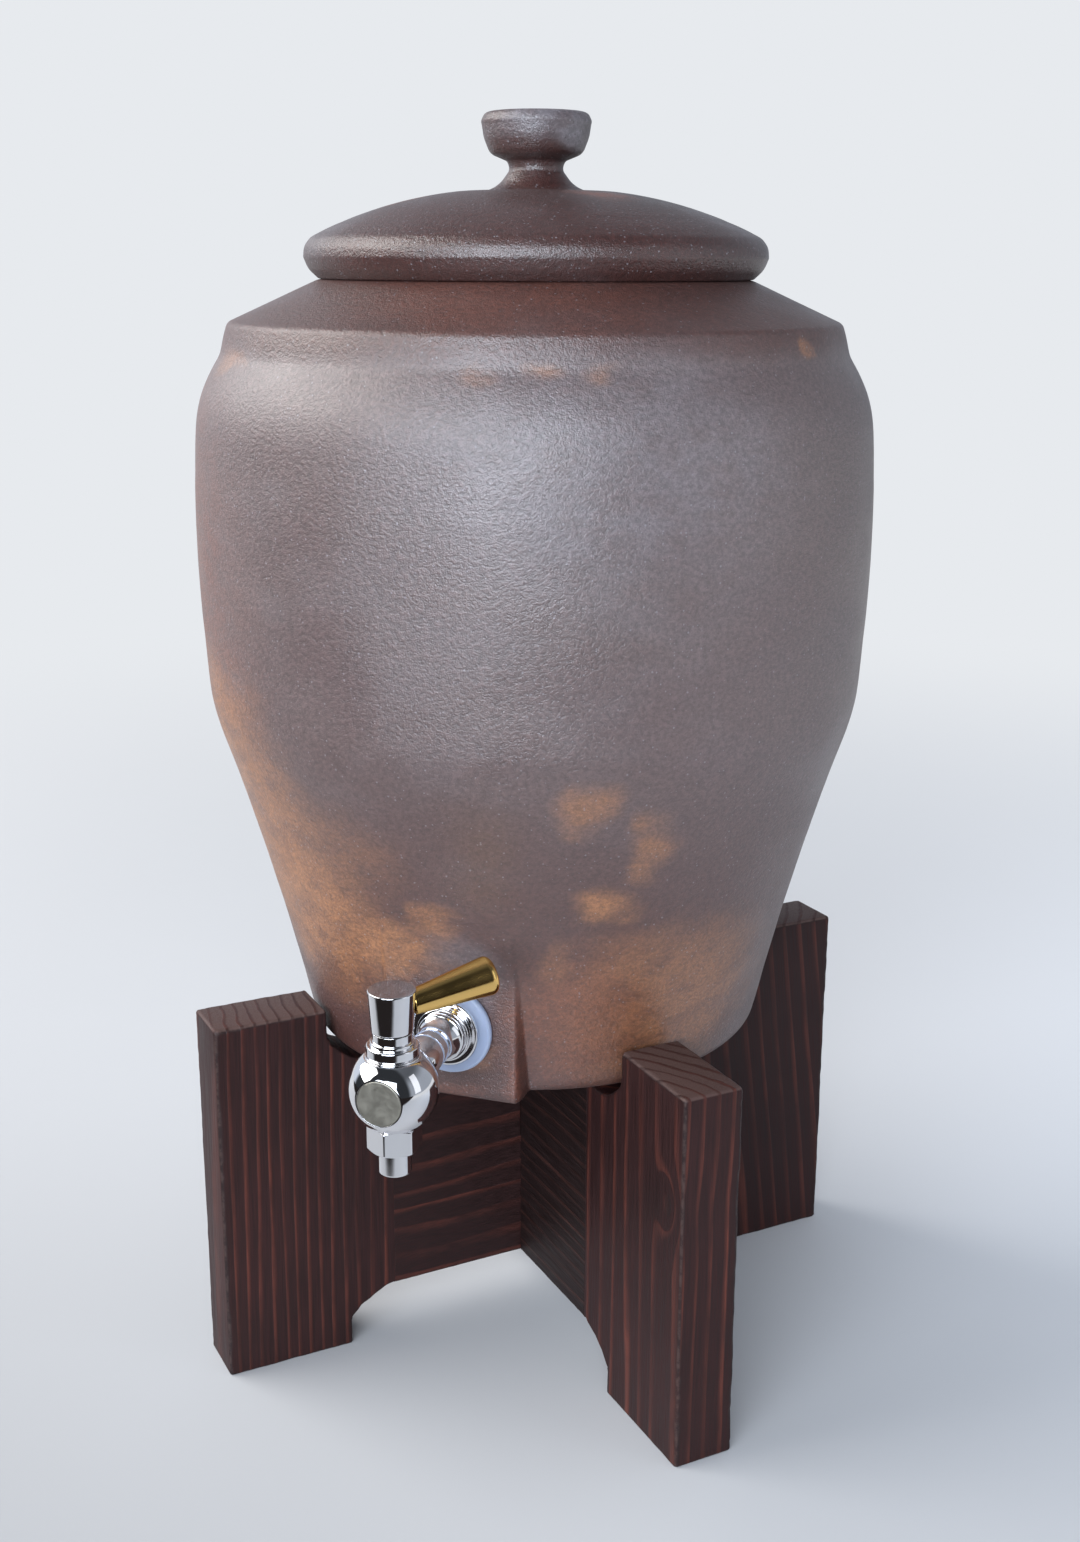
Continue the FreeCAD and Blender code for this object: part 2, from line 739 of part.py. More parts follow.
bonnet = on_stem("bonnet")
turned(bonnet, "bonnet_turning", [
    (S.stem_radius + S.fit_clearance, S.bonnet_bottom),
    (S.bonnet_skirt_radius, S.bonnet_bottom),
    (S.bonnet_skirt_radius, S.ball_top),
    (S.bonnet_foot_radius, S.ball_top),
    (S.bonnet_foot_radius, S.bonnet_foot_top, S.bonnet_foot_round, -1),
    (S.bonnet_groove_radius, S.bonnet_foot_top),
    (S.bonnet_groove_radius, S.bonnet_groove_top),
    (S.bonnet_ring_radius, S.bonnet_groove_top),
    (S.bonnet_ring_radius, S.bonnet_ring_top - S.cap_edge),
    (S.bonnet_ring_radius - S.cap_edge, S.bonnet_ring_top, S.cap_edge, -1),
    (S.bonnet_step_radius, S.bonnet_ring_top),
    (S.bonnet_step_radius, S.bonnet_step_top),
    (S.bonnet_neck_radius, S.bonnet_step_top),
    (S.bonnet_neck_radius, S.bonnet_top),
    (S.stem_radius + S.fit_clearance, S.bonnet_top),
])

plug = on_stem("valve_plug")
turned(plug, "plug_turning", [
    (0, -S.plug_bottom),
    (S.plug_radius, -S.plug_bottom),
    (S.plug_radius, -(S.groove_height + S.groove_half_width)),
    (S.groove_radius, -(S.groove_height + S.groove_half_width)),
    (S.groove_radius, S.groove_half_width - S.groove_height),
    (S.plug_radius, S.groove_half_width - S.groove_height),
    (S.plug_radius, S.groove_height - S.groove_half_width),
    (S.groove_radius, S.groove_height - S.groove_half_width),
    (S.groove_radius, S.groove_height + S.groove_half_width),
    (S.plug_radius, S.groove_height + S.groove_half_width),
    (S.plug_radius, S.plug_top),
    (S.stem_radius, S.plug_top),
    (S.stem_radius, S.stem_groove_height - S.stem_ring_section),
    (S.stem_groove_radius, S.stem_groove_height - S.stem_ring_section),
    (S.stem_groove_radius, S.stem_groove_height + S.stem_ring_section),
    (S.stem_radius, S.stem_groove_height + S.stem_ring_section),
    (S.stem_radius, S.stem_top),
    (0, S.stem_top),
])
down_port = circle(new_sketch(plug, "down_port_plan", "XY_Plane", S.port_top), 0, 0, S.port_radius)
pocketed(plug, "down_port", down_port, S.port_top + S.plug_bottom + S.overshoot)
side_port = circle(new_sketch(plug, "side_port_plan", "YZ_Plane"), 0, 0, S.port_radius)
pocketed(plug, "side_port", side_port, S.plug_radius + S.overshoot)


def lever_hole(body, name, radius, start, finish):
    """A round hole along the lever's axis, from one distance to another."""
    hole = body.newObject("PartDesign::SubtractiveCylinder", name)
    bind(hole, "Radius", radius)
    bind(hole, "Height", finish - start)
    turn = heading(DIMENSIONS["lever_heading"], DIMENSIONS["lever_rise"])
    along = turn.multVec(FreeCAD.Vector(0, 0, start.value))
    level = FreeCAD.Vector(0, 0, DIMENSIONS["lever_height"])
    hole.Placement = FreeCAD.Placement(level + along, turn)
    return hole


lever_hole(plug, "stem_lever_hole", S.tenon_radius, S.tenon_start, S.lever_start)

handle_cap = on_stem("handle_cap")
turned(handle_cap, "cap_turning", [
    (S.stem_radius, S.cap_bottom),
    (S.cap_bottom_radius, S.cap_bottom),
    (S.cap_top_radius, S.cap_top - S.cap_edge),
    (S.cap_top_radius - S.cap_edge, S.cap_top, S.cap_edge, -1),
    (0, S.cap_top),
    (0, S.stem_top),
    (S.stem_radius, S.stem_top),
])
lever_hole(handle_cap, "cap_lever_hole", S.tenon_radius, S.tenon_start, S.lever_start)
lever_hole(
    handle_cap, "cap_spot_face", S.lever_start_radius + S.spot_face_clearance, S.lever_start, S.lever_length
)

lever = on_stem("lever")
lever.Placement.Rotation = heading(DIMENSIONS["lever_heading"], DIMENSIONS["lever_rise"])
bind(lever, "Placement.Base.z", S.tap_height + S.lever_height)
turned(lever, "lever_turning", [
    (0, S.tenon_start),
    (S.tenon_radius, S.tenon_start),
    (S.tenon_radius, S.lever_start),
    (S.lever_start_radius, S.lever_start),
    (S.lever_end_radius, S.lever_length - S.lever_edge),
    (S.lever_end_radius - S.lever_edge, S.lever_length, S.lever_edge, -1),
    (0, S.lever_length),
])

o_rings = []
for ring_name, ring_height, ring_root, ring_section in (
    ("lower_ring", -S.groove_height, S.groove_radius, S.ring_section),
    ("upper_ring", S.groove_height, S.groove_radius, S.ring_section),
    ("stem_ring", S.stem_groove_height, S.stem_groove_radius, S.stem_ring_section),
):
    torus = doc.addObject("Part::Torus", ring_name)
    bind(torus, "Radius1", ring_root + ring_section)
    bind(torus, "Radius2", ring_section)
    bind(torus, "Placement.Base.z", ring_height)
    o_rings.append(torus)
group("o_rings", o_rings, (0, -(S.panel_reach + S.ball_reach), S.tap_height))

boss_end = S.ball_bottom + S.outlet_boss_length
seal_end = boss_end + S.seal_thickness
flange_end = seal_end + S.nozzle_flange_thickness
nut_end = S.ball_bottom + S.outlet_nut_height

outlet_seal = on_stem("outlet_seal")
turned(outlet_seal, "outlet_seal_ring", [
    (S.nozzle_bore, -seal_end),
    (S.nozzle_flange_radius, -seal_end),
    (S.nozzle_flange_radius, -boss_end),
    (S.nozzle_bore, -boss_end),
])

nozzle = on_stem("nozzle")
turned(nozzle, "nozzle_turning", [
    (S.nozzle_bore, -S.nozzle_end),
    (S.nozzle_radius - S.nozzle_edge, -S.nozzle_end),
    (S.nozzle_radius, S.nozzle_edge - S.nozzle_end, S.nozzle_edge, -1),
    (S.nozzle_radius, -nut_end),
    (S.nozzle_neck_radius, -nut_end),
    (S.nozzle_neck_radius, -flange_end),
    (S.nozzle_flange_radius, -flange_end),
    (S.nozzle_flange_radius, -seal_end),
    (S.nozzle_bore, -seal_end),
])

outlet_nut = on_stem("outlet_nut")
outlet_nut_plan = outline(
    new_sketch(outlet_nut, "outlet_nut_plan", "XY_Plane", -nut_end), hexagon(S.outlet_nut_flats)
)
padded(outlet_nut, "outlet_nut_blank", outlet_nut_plan, S.outlet_nut_height)
corner_cut(
    outlet_nut, "outlet_nut_chamfer", S.outlet_nut_flats, S.outlet_nut_chamfer, -nut_end, -S.ball_bottom
)
turned(outlet_nut, "outlet_nut_bore", [
    (0, -nut_end),
    (S.nozzle_neck_radius, -nut_end),
    (S.nozzle_neck_radius, -flange_end),
    (S.outlet_boss_radius, -flange_end),
    (S.outlet_boss_radius, -S.ball_bottom),
    (0, -S.ball_bottom),
], cut=True)


# Check every object, then write one file for each sub-part

doc.recompute()
for item in doc.Objects:
    if any(word in ("Invalid", "Error") for word in item.State):
        raise RuntimeError(f"{item.Label}: {item.State}")
os.makedirs("parts", exist_ok=True)
for item in SUBPARTS:
    shape = item.Shape
    if shape.isNull() or not shape.isValid() or not shape.Solids:
        raise RuntimeError(f"{item.Label}: its shape is empty or not valid")
    shape.exportStep(f"parts/{item.Label}.step")
    print(f"{item.Label}: {len(shape.Solids)} solid(s), {shape.Volume / 1000:.2f} cm3")
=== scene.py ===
"""Looks of a stoneware water pot with a lever tap, on a stained wooden cross stand.

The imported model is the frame. Each sub-assembly is a class that works out its meshes as surfaces
on a grid, dresses them and hangs them on the frame's bodies. Outlines are written in millimetres
and become metres when a mesh is made. The tap points along -Y and +Z is up.
"""

import logging
import math
from dataclasses import dataclass, field, replace
from enum import Enum
from functools import reduce
from typing import Callable, Optional, Sequence, Union

import bmesh
import bpy
import numpy as np
from mathutils import Matrix, Vector


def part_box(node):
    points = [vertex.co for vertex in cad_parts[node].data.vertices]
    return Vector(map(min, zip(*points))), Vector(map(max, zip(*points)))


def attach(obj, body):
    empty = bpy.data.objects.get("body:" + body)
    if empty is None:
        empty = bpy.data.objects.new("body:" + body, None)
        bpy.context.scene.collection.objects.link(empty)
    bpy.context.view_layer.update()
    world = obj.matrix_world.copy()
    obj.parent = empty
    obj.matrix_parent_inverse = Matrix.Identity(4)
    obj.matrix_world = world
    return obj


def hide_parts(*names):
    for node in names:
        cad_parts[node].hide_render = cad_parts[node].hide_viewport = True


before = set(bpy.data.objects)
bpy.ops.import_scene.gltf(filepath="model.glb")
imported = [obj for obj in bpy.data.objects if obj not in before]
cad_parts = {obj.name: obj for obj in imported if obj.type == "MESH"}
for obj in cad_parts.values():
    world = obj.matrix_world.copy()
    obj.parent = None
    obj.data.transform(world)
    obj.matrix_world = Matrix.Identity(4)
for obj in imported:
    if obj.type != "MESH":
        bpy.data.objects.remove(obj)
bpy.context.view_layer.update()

MM = 0.001
WELD = 2e-7
SHARP_ANGLE = math.radians(38)
log = logging.getLogger("water_pot")

Colour = tuple[float, float, float, float]
Triple = tuple[float, float, float]
Array = np.ndarray
Material = bpy.types.Material
Node = bpy.types.Node
NodeTree = bpy.types.NodeTree
Socket = bpy.types.NodeSocket
Feed = Union[Socket, float, Triple, Colour]


def shade(red: int, green: int, blue: int) -> Colour:
    """Turns a colour as a screen shows it, 0 to 255, into the linear one that a shader takes.

    Args:
        red: red part.
        green: green part.
        blue: blue part.

    Returns:
        Linear red, green, blue and an alpha of 1.
    """
    parts = np.array([red, green, blue]) / 255
    linear = np.where(parts <= 0.04045, parts / 12.92, ((parts + 0.055) / 1.055) ** 2.4)
    return (*linear.tolist(), 1.0)


WHITE = shade(255, 255, 255)

# Outlines and surfaces


@dataclass(frozen=True)
class Corner:
    """A corner of an outline, in millimetres.

    Attributes:
        out: distance from the axis, or along a board.
        up: height along the axis.
        soft: length of both edges that the corner's rounding takes up.
        radius: radius of the arc that leads here, which bulges left of travel where positive.
        rough: depth of the saw's ripple on the edge that leads here.
        arris: how much of the board's arris rounding that edge has.
    """

    out: float
    up: float
    soft: float = 0.0
    radius: float = 0.0
    rough: float = 0.0
    arris: float = 1.0


def chain(*rows: tuple[float, ...]) -> list[Corner]:
    """Makes corners from rows of out, up, and where they have them soft and radius."""
    return [Corner(*row) for row in rows]


def turn_flat(vector: Array, angle: float) -> Array:
    """Turns a flat vector to the left by an angle in radians."""
    cosine, sine = math.cos(angle), math.sin(angle)
    return np.array([cosine * vector[0] - sine * vector[1], sine * vector[0] + cosine * vector[1]])


class Outline:
    """A chain of straight and arc edges with eased corners, sampled as an array.

    Each edge runs from the end of one corner's easing to the start of the next. An easing is a
    cubic curve that leaves and meets its two edges along their tangents.
    """

    EASE_STEPS = 7
    LEAST_STEPS = 5
    SOFTEST = 0.46

    def __init__(self, corners: Sequence[Corner], step: float, closed: bool = False) -> None:
        """Works out how many samples each edge takes.

        Args:
            corners: the corners in order; a closed outline runs anticlockwise.
            step: greatest distance between samples, in millimetres.
            closed: whether the last corner leads back to the first.
        """
        self.corners = list(corners)
        self.closed = closed
        count = len(self.corners)
        self.edges = [(i, (i + 1) % count) for i in range(count if closed else count - 1)]
        places = np.array([(corner.out, corner.up) for corner in self.corners])
        lengths = [float(np.hypot(*(places[b] - places[a]))) for a, b in self.edges]
        self.spans = []
        for (a, b), length in zip(self.edges, lengths):
            start = min(self._softness(a) / length, self.SOFTEST)
            end = 1 - min(self._softness(b) / length, self.SOFTEST)
            self.spans.append((start, end))
        self.steps = [
            max(self.LEAST_STEPS, math.ceil(length * (end - start) / step) + 1)
            for length, (start, end) in zip(lengths, self.spans)
        ]

    def _softness(self, index: int) -> float:
        """Gives a corner's easing length; the ends of an open outline have none."""
        at_end = not self.closed and index in (0, len(self.corners) - 1)
        return 0.0 if at_end else self.corners[index].soft

    @staticmethod
    def _half_turn(chord: Array, radius: float) -> float:
        """Gives half the angle that an arc turns through over a chord, signed like its radius.

        Args:
            chord: from the arc's start to its end.
            radius: the arc's signed radius.

        Returns:
            The angle in radians.
        """
        if not radius:
            return 0.0
        return math.copysign(math.asin(min(1.0, float(np.hypot(*chord)) / 2 / abs(radius))), radius)

    def _places(self, inset: float) -> tuple[Array, list[float]]:
        """Moves the corners to the left of travel, each along the mitre of its two edges.

        Args:
            inset: distance from the outline to its inset copy, in millimetres.

        Returns:
            The moved corners and the radius of each edge, in the same order as the edges.
        """
        places = np.array([(corner.out, corner.up) for corner in self.corners], float)
        radii = [self.corners[b].radius for _, b in self.edges]
        if not inset:
            return places, radii
        starts, ends = {}, {}
        for (a, b), radius in zip(self.edges, radii):
            chord = places[b] - places[a]
            half = self._half_turn(chord, radius)
            unit = chord / np.hypot(*chord)
            starts[a] = turn_flat(unit, half + math.pi / 2)
            ends[b] = turn_flat(unit, -half + math.pi / 2)
        moved = places.copy()
        for index in range(len(places)):
            before = ends.get(index, starts.get(index))
            after = starts.get(index, ends.get(index))
            mitre = (before + after) / (1 + float(before @ after))
            moved[index] += inset * mitre
        return moved, [radius + inset if radius else 0.0 for radius in radii]

    def points(self, inset: float = 0.0) -> Array:
        """Samples the outline, or a copy of it that is moved to the left of travel.

        Args:
            inset: how far the copy is moved, in millimetres.

        Returns:
            An array of samples by two; every inset gives the same number of samples.
        """
        places, radii = self._places(inset)
        runs = []
        for (a, b), radius, (start, end), steps in zip(self.edges, radii, self.spans, self.steps):
            even = np.linspace(0, 1, steps)
            crowded = (1 - np.cos(math.pi * even)) / 2
            along = start + (end - start) * (even + crowded) / 2
            chord = places[b] - places[a]
            length = float(np.hypot(*chord))
            unit = chord / length
            half = self._half_turn(chord, radius)
            line = places[a] + chord * along[:, None]
            if radius:
                turns = (2 * along - 1) * abs(half)
                reach = abs(radius) * np.sin(turns)
                rise = radius * (np.cos(turns) - math.cos(half))
                line = (places[a] + places[b]) / 2 + reach[:, None] * unit
                line = line + rise[:, None] * turn_flat(unit, math.pi / 2)
            first = turn_flat(unit, half * (1 - 2 * start))
            last = turn_flat(unit, half * (1 - 2 * end))
            runs.append((line, first, last))
        return np.vstack([piece for piece, _ in self._pieces(runs)])

    def _pieces(self, runs: list) -> list[tuple[Array, tuple[int, int]]]:
        """Puts the edges' samples and the easings between them in order.

        Args:
            runs: each edge's samples with its first and last direction.

        Returns:
            Pieces of the outline, each with the numbers of the edges on its two sides.
        """
        pieces = []
        for index, (line, first, _) in enumerate(runs):
            before = index - 1 if index or self.closed else None
            if before is not None:
                soft = self._softness(self.edges[index][0])
                ease = self._ease(runs[before], line, first) if soft else None
                if ease is not None:
                    pieces.append((ease, (before % len(runs), index)))
                elif index:
                    line = line[1:]
            if index == len(runs) - 1 and self.closed and not self._softness(0):
                line = line[:-1]
            pieces.append((line, (index, index)))
        return pieces

    def _ease(self, before: tuple, line: Array, first: Array) -> Array:
        """Samples the cubic curve between two edges, without its ends.

        Args:
            before: the edge before, with its first and last direction.
            line: samples of the edge after.
            first: direction in which the edge after starts.

        Returns:
            EASE_STEPS samples.
        """
        start, end, last = before[0][-1], line[0], before[2]
        chord = float(np.hypot(*(end - start)))
        turn = math.acos(max(-1.0, min(1.0, float(last @ first))))
        pull = chord / (3 * math.cos(turn / 4) ** 2)
        t = np.linspace(0, 1, self.EASE_STEPS + 2)[1:-1, None]
        near, far = start + last * pull, end - first * pull
        return (
            start * (1 - t) ** 3 + 3 * near * t * (1 - t) ** 2 + 3 * far * t**2 * (1 - t) + end * t**3
        )

    def edge_values(self, name: str) -> Array:
        """Spreads a value of the edges over the samples.

        Args:
            name: the Corner field to spread.

        Returns:
            One number for each sample; an easing has the mean of its two edges.
        """
        ahead = np.array([1.0, 0.0])
        blank = [(np.zeros((steps, 2)), ahead, ahead) for steps in self.steps]
        of_edge = [getattr(self.corners[b], name) for _, b in self.edges]
        values = [
            np.full(len(piece), (of_edge[a] + of_edge[b]) / 2) for piece, (a, b) in self._pieces(blank)
        ]
        return np.concatenate(values)


@dataclass(frozen=True)
class Axis:
    """A line that pieces are turned about.

    Attributes:
        place: a point on it, in millimetres.
        along: the direction in which heights rise.
        side: the direction of angle zero, square to it.
    """

    place: Triple
    along: Triple = (0.0, 0.0, 1.0)
    side: Triple = (1.0, 0.0, 0.0)

    def grid(self, out: Array, up: Array, angle: Array) -> Array:
        """Places points given by distance, height and angle about the axis.

        Args:
            out: distances from the axis, rows by columns.
            up: heights, rows by columns.
            angle: angles in radians, one for each column.

        Returns:
            Points, rows by columns by three.
        """
        along, side = np.array(self.along), np.array(self.side)
        across = np.cross(along, side)
        round_x = (out * np.cos(angle))[..., None] * side
        round_y = (out * np.sin(angle))[..., None] * across
        return np.array(self.place) + up[..., None] * along + round_x + round_y


@dataclass
class Patch:
    """A grid of points in millimetres that becomes faces.

    Attributes:
        grid: rows by columns by three.
        ring: whether the last column joins the first.
        loop: whether the last row joins the first.
        caps: whether the first and last rows are closed by a face each.
        wear: how worn each point is, rows by columns, where the finish needs it.
    """

    grid: Array
    ring: bool = True
    loop: bool = False
    caps: bool = False
    wear: Optional[Array] = None


def turned(
    axis: Axis,
    corners: Union[Outline, Sequence[Corner]],
    columns: int = 96,
    step: float = 0.8,
    change: Optional[Callable[[Array, Array, Array], Array]] = None,
    angles: Optional[Array] = None,
) -> Patch:
    """Turns an outline about an axis.

    Args:
        axis: the line that it turns about.
        corners: the outline, or its corners from the axis or round a bore.
        columns: number of steps round the axis.
        step: greatest distance between samples along the outline.
        change: takes distance, height and angle as arrays and gives a new distance.
        angles: angles of the columns where they aren't even.

    Returns:
        The surface; an outline whose ends aren't on the axis is closed into a loop.
    """
    if isinstance(corners, Outline):
        outline = corners
    else:
        bored = corners[0].out > 0 and corners[-1].out > 0
        outline = Outline(corners, step, closed=bored)
    path = outline.points()
    if angles is None:
        angles = np.arange(columns) * (2 * math.pi / columns)
    out = np.repeat(path[:, :1], len(angles), axis=1)
    up = np.repeat(path[:, 1:], len(angles), axis=1)
    if change is not None:
        out = change(out, up, np.broadcast_to(angles, out.shape))
    return Patch(axis.grid(out, up, angles), loop=outline.closed)


def soft_noise(rng: np.random.Generator, count: int, spacing: float, loop: bool = False) -> Array:
    """Makes a smooth random line: random values at even knots, with cosine easing between them.

    Args:
        rng: source of the random values.
        count: number of samples.
        spacing: samples from one knot to the next.
        loop: whether the end meets the start.

    Returns:
        Values between about -1 and 1.
    """
    knots = max(3, round(count / spacing))
    values = rng.uniform(-1, 1, knots + 1)
    if loop:
        values[-1] = values[0]
    place = np.arange(count) * (knots / count)
    low = np.floor(place).astype(int)
    part = (1 - np.cos(math.pi * (place - low))) / 2
    return values[low] * (1 - part) + values[np.minimum(low + 1, knots)] * part


def make_mesh(name: str, patches: Sequence[Patch]) -> bpy.types.Mesh:
    """Makes one mesh from grids of points, welds their seams and poles and turns it outwards.

    Args:
        name: the mesh's name.
        patches: the grids, in millimetres.

    Returns:
        The mesh, in metres, smooth except at sharp corners.
    """
    points, faces, wear, start = [], [], [], 0
    for patch in patches:
        rows, columns = patch.grid.shape[:2]
        index = np.arange(rows * columns).reshape(rows, columns) + start
        if patch.caps:
            faces += [index[0].tolist(), index[-1, ::-1].tolist()]
        if patch.ring:
            index = np.hstack([index, index[:, :1]])
        if patch.loop:
            index = np.vstack([index, index[:1]])
        corners = [index[:-1, :-1], index[:-1, 1:], index[1:, 1:], index[1:, :-1]]
        faces += np.stack(corners, axis=-1).reshape(-1, 4).tolist()
        points.append(patch.grid.reshape(-1, 3) * MM)
        wear.append(np.zeros(rows * columns) if patch.wear is None else patch.wear.ravel())
        start += rows * columns
    mesh = bpy.data.meshes.new(name)
    mesh.from_pydata(np.vstack(points).tolist(), [], faces)
    mesh.attributes.new("wear", "FLOAT", "POINT").data.foreach_set("value", np.concatenate(wear))
    shell = bmesh.new()
    shell.from_mesh(mesh)
    bmesh.ops.remove_doubles(shell, verts=shell.verts, dist=WELD)
    bmesh.ops.recalc_face_normals(shell, faces=shell.faces)
    shell.to_mesh(mesh)
    shell.free()
    mesh.polygons.foreach_set("use_smooth", np.ones(len(mesh.polygons), dtype=bool))
    mesh.set_sharp_from_angle(angle=SHARP_ANGLE)
    return mesh


def put(name: str, data: bpy.types.ID) -> bpy.types.Object:
    """Puts a new object with its data into the scene.

    Args:
        name: the object's name.
        data: its mesh, lamp or camera.

    Returns:
        The object.
    """
    thing = bpy.data.objects.new(name, data)
    bpy.context.scene.collection.objects.link(thing)
    return thing


@dataclass
class Piece:
    """Where a finished piece belongs.

    Attributes:
        name: its object's name.
        body: the frame's body that it rides on.
        slot: the record's material slot; not used.
        node: the frame's node that it stands for.
    """

    name: str
    body: str
    slot: str
    node: str

    def place(self, patches: Sequence[Patch], material: Material) -> None:
        """Makes the piece, dresses it and hangs it on its body.

        Args:
            patches: its surfaces.
            material: its finish.
        """
        mesh = make_mesh(self.name, patches)
        mesh.materials.append(material)
        thing = put(self.name, mesh)
        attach(thing, self.body)
        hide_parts(self.node)
        log.info("%s: %d faces, rides on %s", self.name, len(mesh.polygons), self.body)


def middle(node: str) -> Array:
    """Gives the middle of a frame node's box, in millimetres."""
    low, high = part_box(node)
    return (np.array(low) + np.array(high)) / 2 / MM


# Node wiring and the node groups that finishes share


class Wiring:
    """Adds nodes to a tree and links them."""

    def __init__(self, tree: NodeTree) -> None:
        """Keeps the tree: a material's, a world's or a group's."""
        self.tree = tree

    def feed(self, socket: Socket, value: Feed) -> None:
        """Links an output to a socket, or sets the socket's own value.

        Args:
            socket: an input.
            value: an output, or the input's own value.
        """
        if isinstance(value, Socket):
            self.tree.links.new(value, socket)
        else:
            socket.default_value = value

    def node(self, kind: str, feeds: Optional[dict] = None, **settings: object) -> Node:
        """Adds a node.

        Args:
            kind: the node's type, less the word ShaderNode.
            feeds: what each input takes, by the input's name or number.
            settings: the node's own settings.

        Returns:
            The node.
        """
        added = self.tree.nodes.new(f"ShaderNode{kind}")
        for name, value in settings.items():
            setattr(added, name, value)
        for name, value in (feeds or {}).items():
            self.feed(added.inputs[name], value)
        return added

    def first(self, kind: str, feeds: Optional[dict] = None, **settings: object) -> Socket:
        """Adds a node and gives its first output."""
        return self.node(kind, feeds, **settings).outputs[0]

    def math(self, operation: str, *values: Feed) -> Socket:
        """Adds a Math node and gives its output."""
        return self.first("Math", dict(enumerate(values)), operation=operation)

    def times(self, *values: Feed) -> Socket:
        """Multiplies numbers, from the left."""
        return reduce(lambda product, value: self.math("MULTIPLY", product, value), values)

    def plus(self, *values: Feed) -> Socket:
        """Adds numbers up, from the left."""
        return reduce(lambda total, value: self.math("ADD", total, value), values)

    def vector(self, operation: str, *values: Feed) -> Socket:
        """Adds a Vector Math node and gives its output, which is a number for a length."""
        added = self.node("VectorMath", dict(enumerate(values)), operation=operation)
        return added.outputs["Value" if operation == "LENGTH" else "Vector"]

    def scaled(self, vector: Feed, parts: Feed) -> Socket:
        """Multiplies a vector or a colour by another, part by part."""
        return self.vector("MULTIPLY", vector, parts)

    def resized(self, vector: Feed, factor: Feed) -> Socket:
        """Multiplies a vector by a number."""
        return self.first("VectorMath", {0: vector, "Scale": factor}, operation="SCALE")

    def split(self, vector: Feed) -> Sequence[Socket]:
        """Gives a vector's x, y and z."""
        return self.node("SeparateXYZ", {0: vector}).outputs

    def noise(self, place: Feed, scale: Feed, detail: float = 2.0, rough: float = 0.5) -> Socket:
        """Adds a Noise Texture and gives its value."""
        return self.first("TexNoise", {"Vector": place, "Scale": scale, "Detail": detail, "Roughness": rough})

    def noise_vector(self, place: Feed, scale: Feed, detail: float = 2.0) -> Socket:
        """Adds a Noise Texture and gives its colour, less a half, as a vector about zero."""
        colour = self.node("TexNoise", {"Vector": place, "Scale": scale, "Detail": detail}).outputs[1]
        return self.vector("SUBTRACT", colour, (0.5, 0.5, 0.5))

    def blend(self, part: Feed, first: Feed, second: Feed) -> Socket:
        """Adds a Mix node for colours and gives its output."""
        return self.node("Mix", {0: part, 6: first, 7: second}, data_type="RGBA").outputs[2]

    def mix(self, part: Feed, first: Socket, second: Socket) -> Socket:
        """Adds a Mix Shader node and gives its output."""
        return self.first("MixShader", {0: part, 1: first, 2: second})

    def spread(self, value: Feed, low: Feed, high: Feed, start: Feed = 0.0, end: Feed = 1.0) -> Socket:
        """Eases a value from one range to another and gives the output."""
        feeds = {"Value": value, "From Min": low, "From Max": high, "To Min": start, "To Max": end}
        return self.first("MapRange", feeds, interpolation_type="SMOOTHSTEP")

    def bump(self, height: Feed, depth: float) -> Socket:
        """Adds a Bump node and gives its normal; a height of 1 stands for the depth, in metres."""
        return self.first("Bump", {"Height": height, "Distance": depth, "Strength": 1.0})

    def place(self) -> Socket:
        """Gives the Object coordinates, in metres."""
        return self.node("TexCoord").outputs["Object"]

    def shader(self, feeds: dict[str, Feed]) -> Socket:
        """Adds a Principled shader with what its inputs take, and gives its output."""
        return self.first("BsdfPrincipled", feeds)

    def end(self, surface: Socket, kind: str = "Material") -> None:
        """Adds the output node of a material or a world and links the surface to it."""
        self.node(f"Output{kind}", {"Surface": surface})


class Shared(Enum):
    """The node groups that more than one finish uses."""

    CLAY_GRAIN = "clay_grain"
    FLASH_SPOT = "flash_spot"
    GROWTH_RINGS = "growth_rings"
    HANDLING = "handling_marks"
    UNEVEN = "uneven_tone"


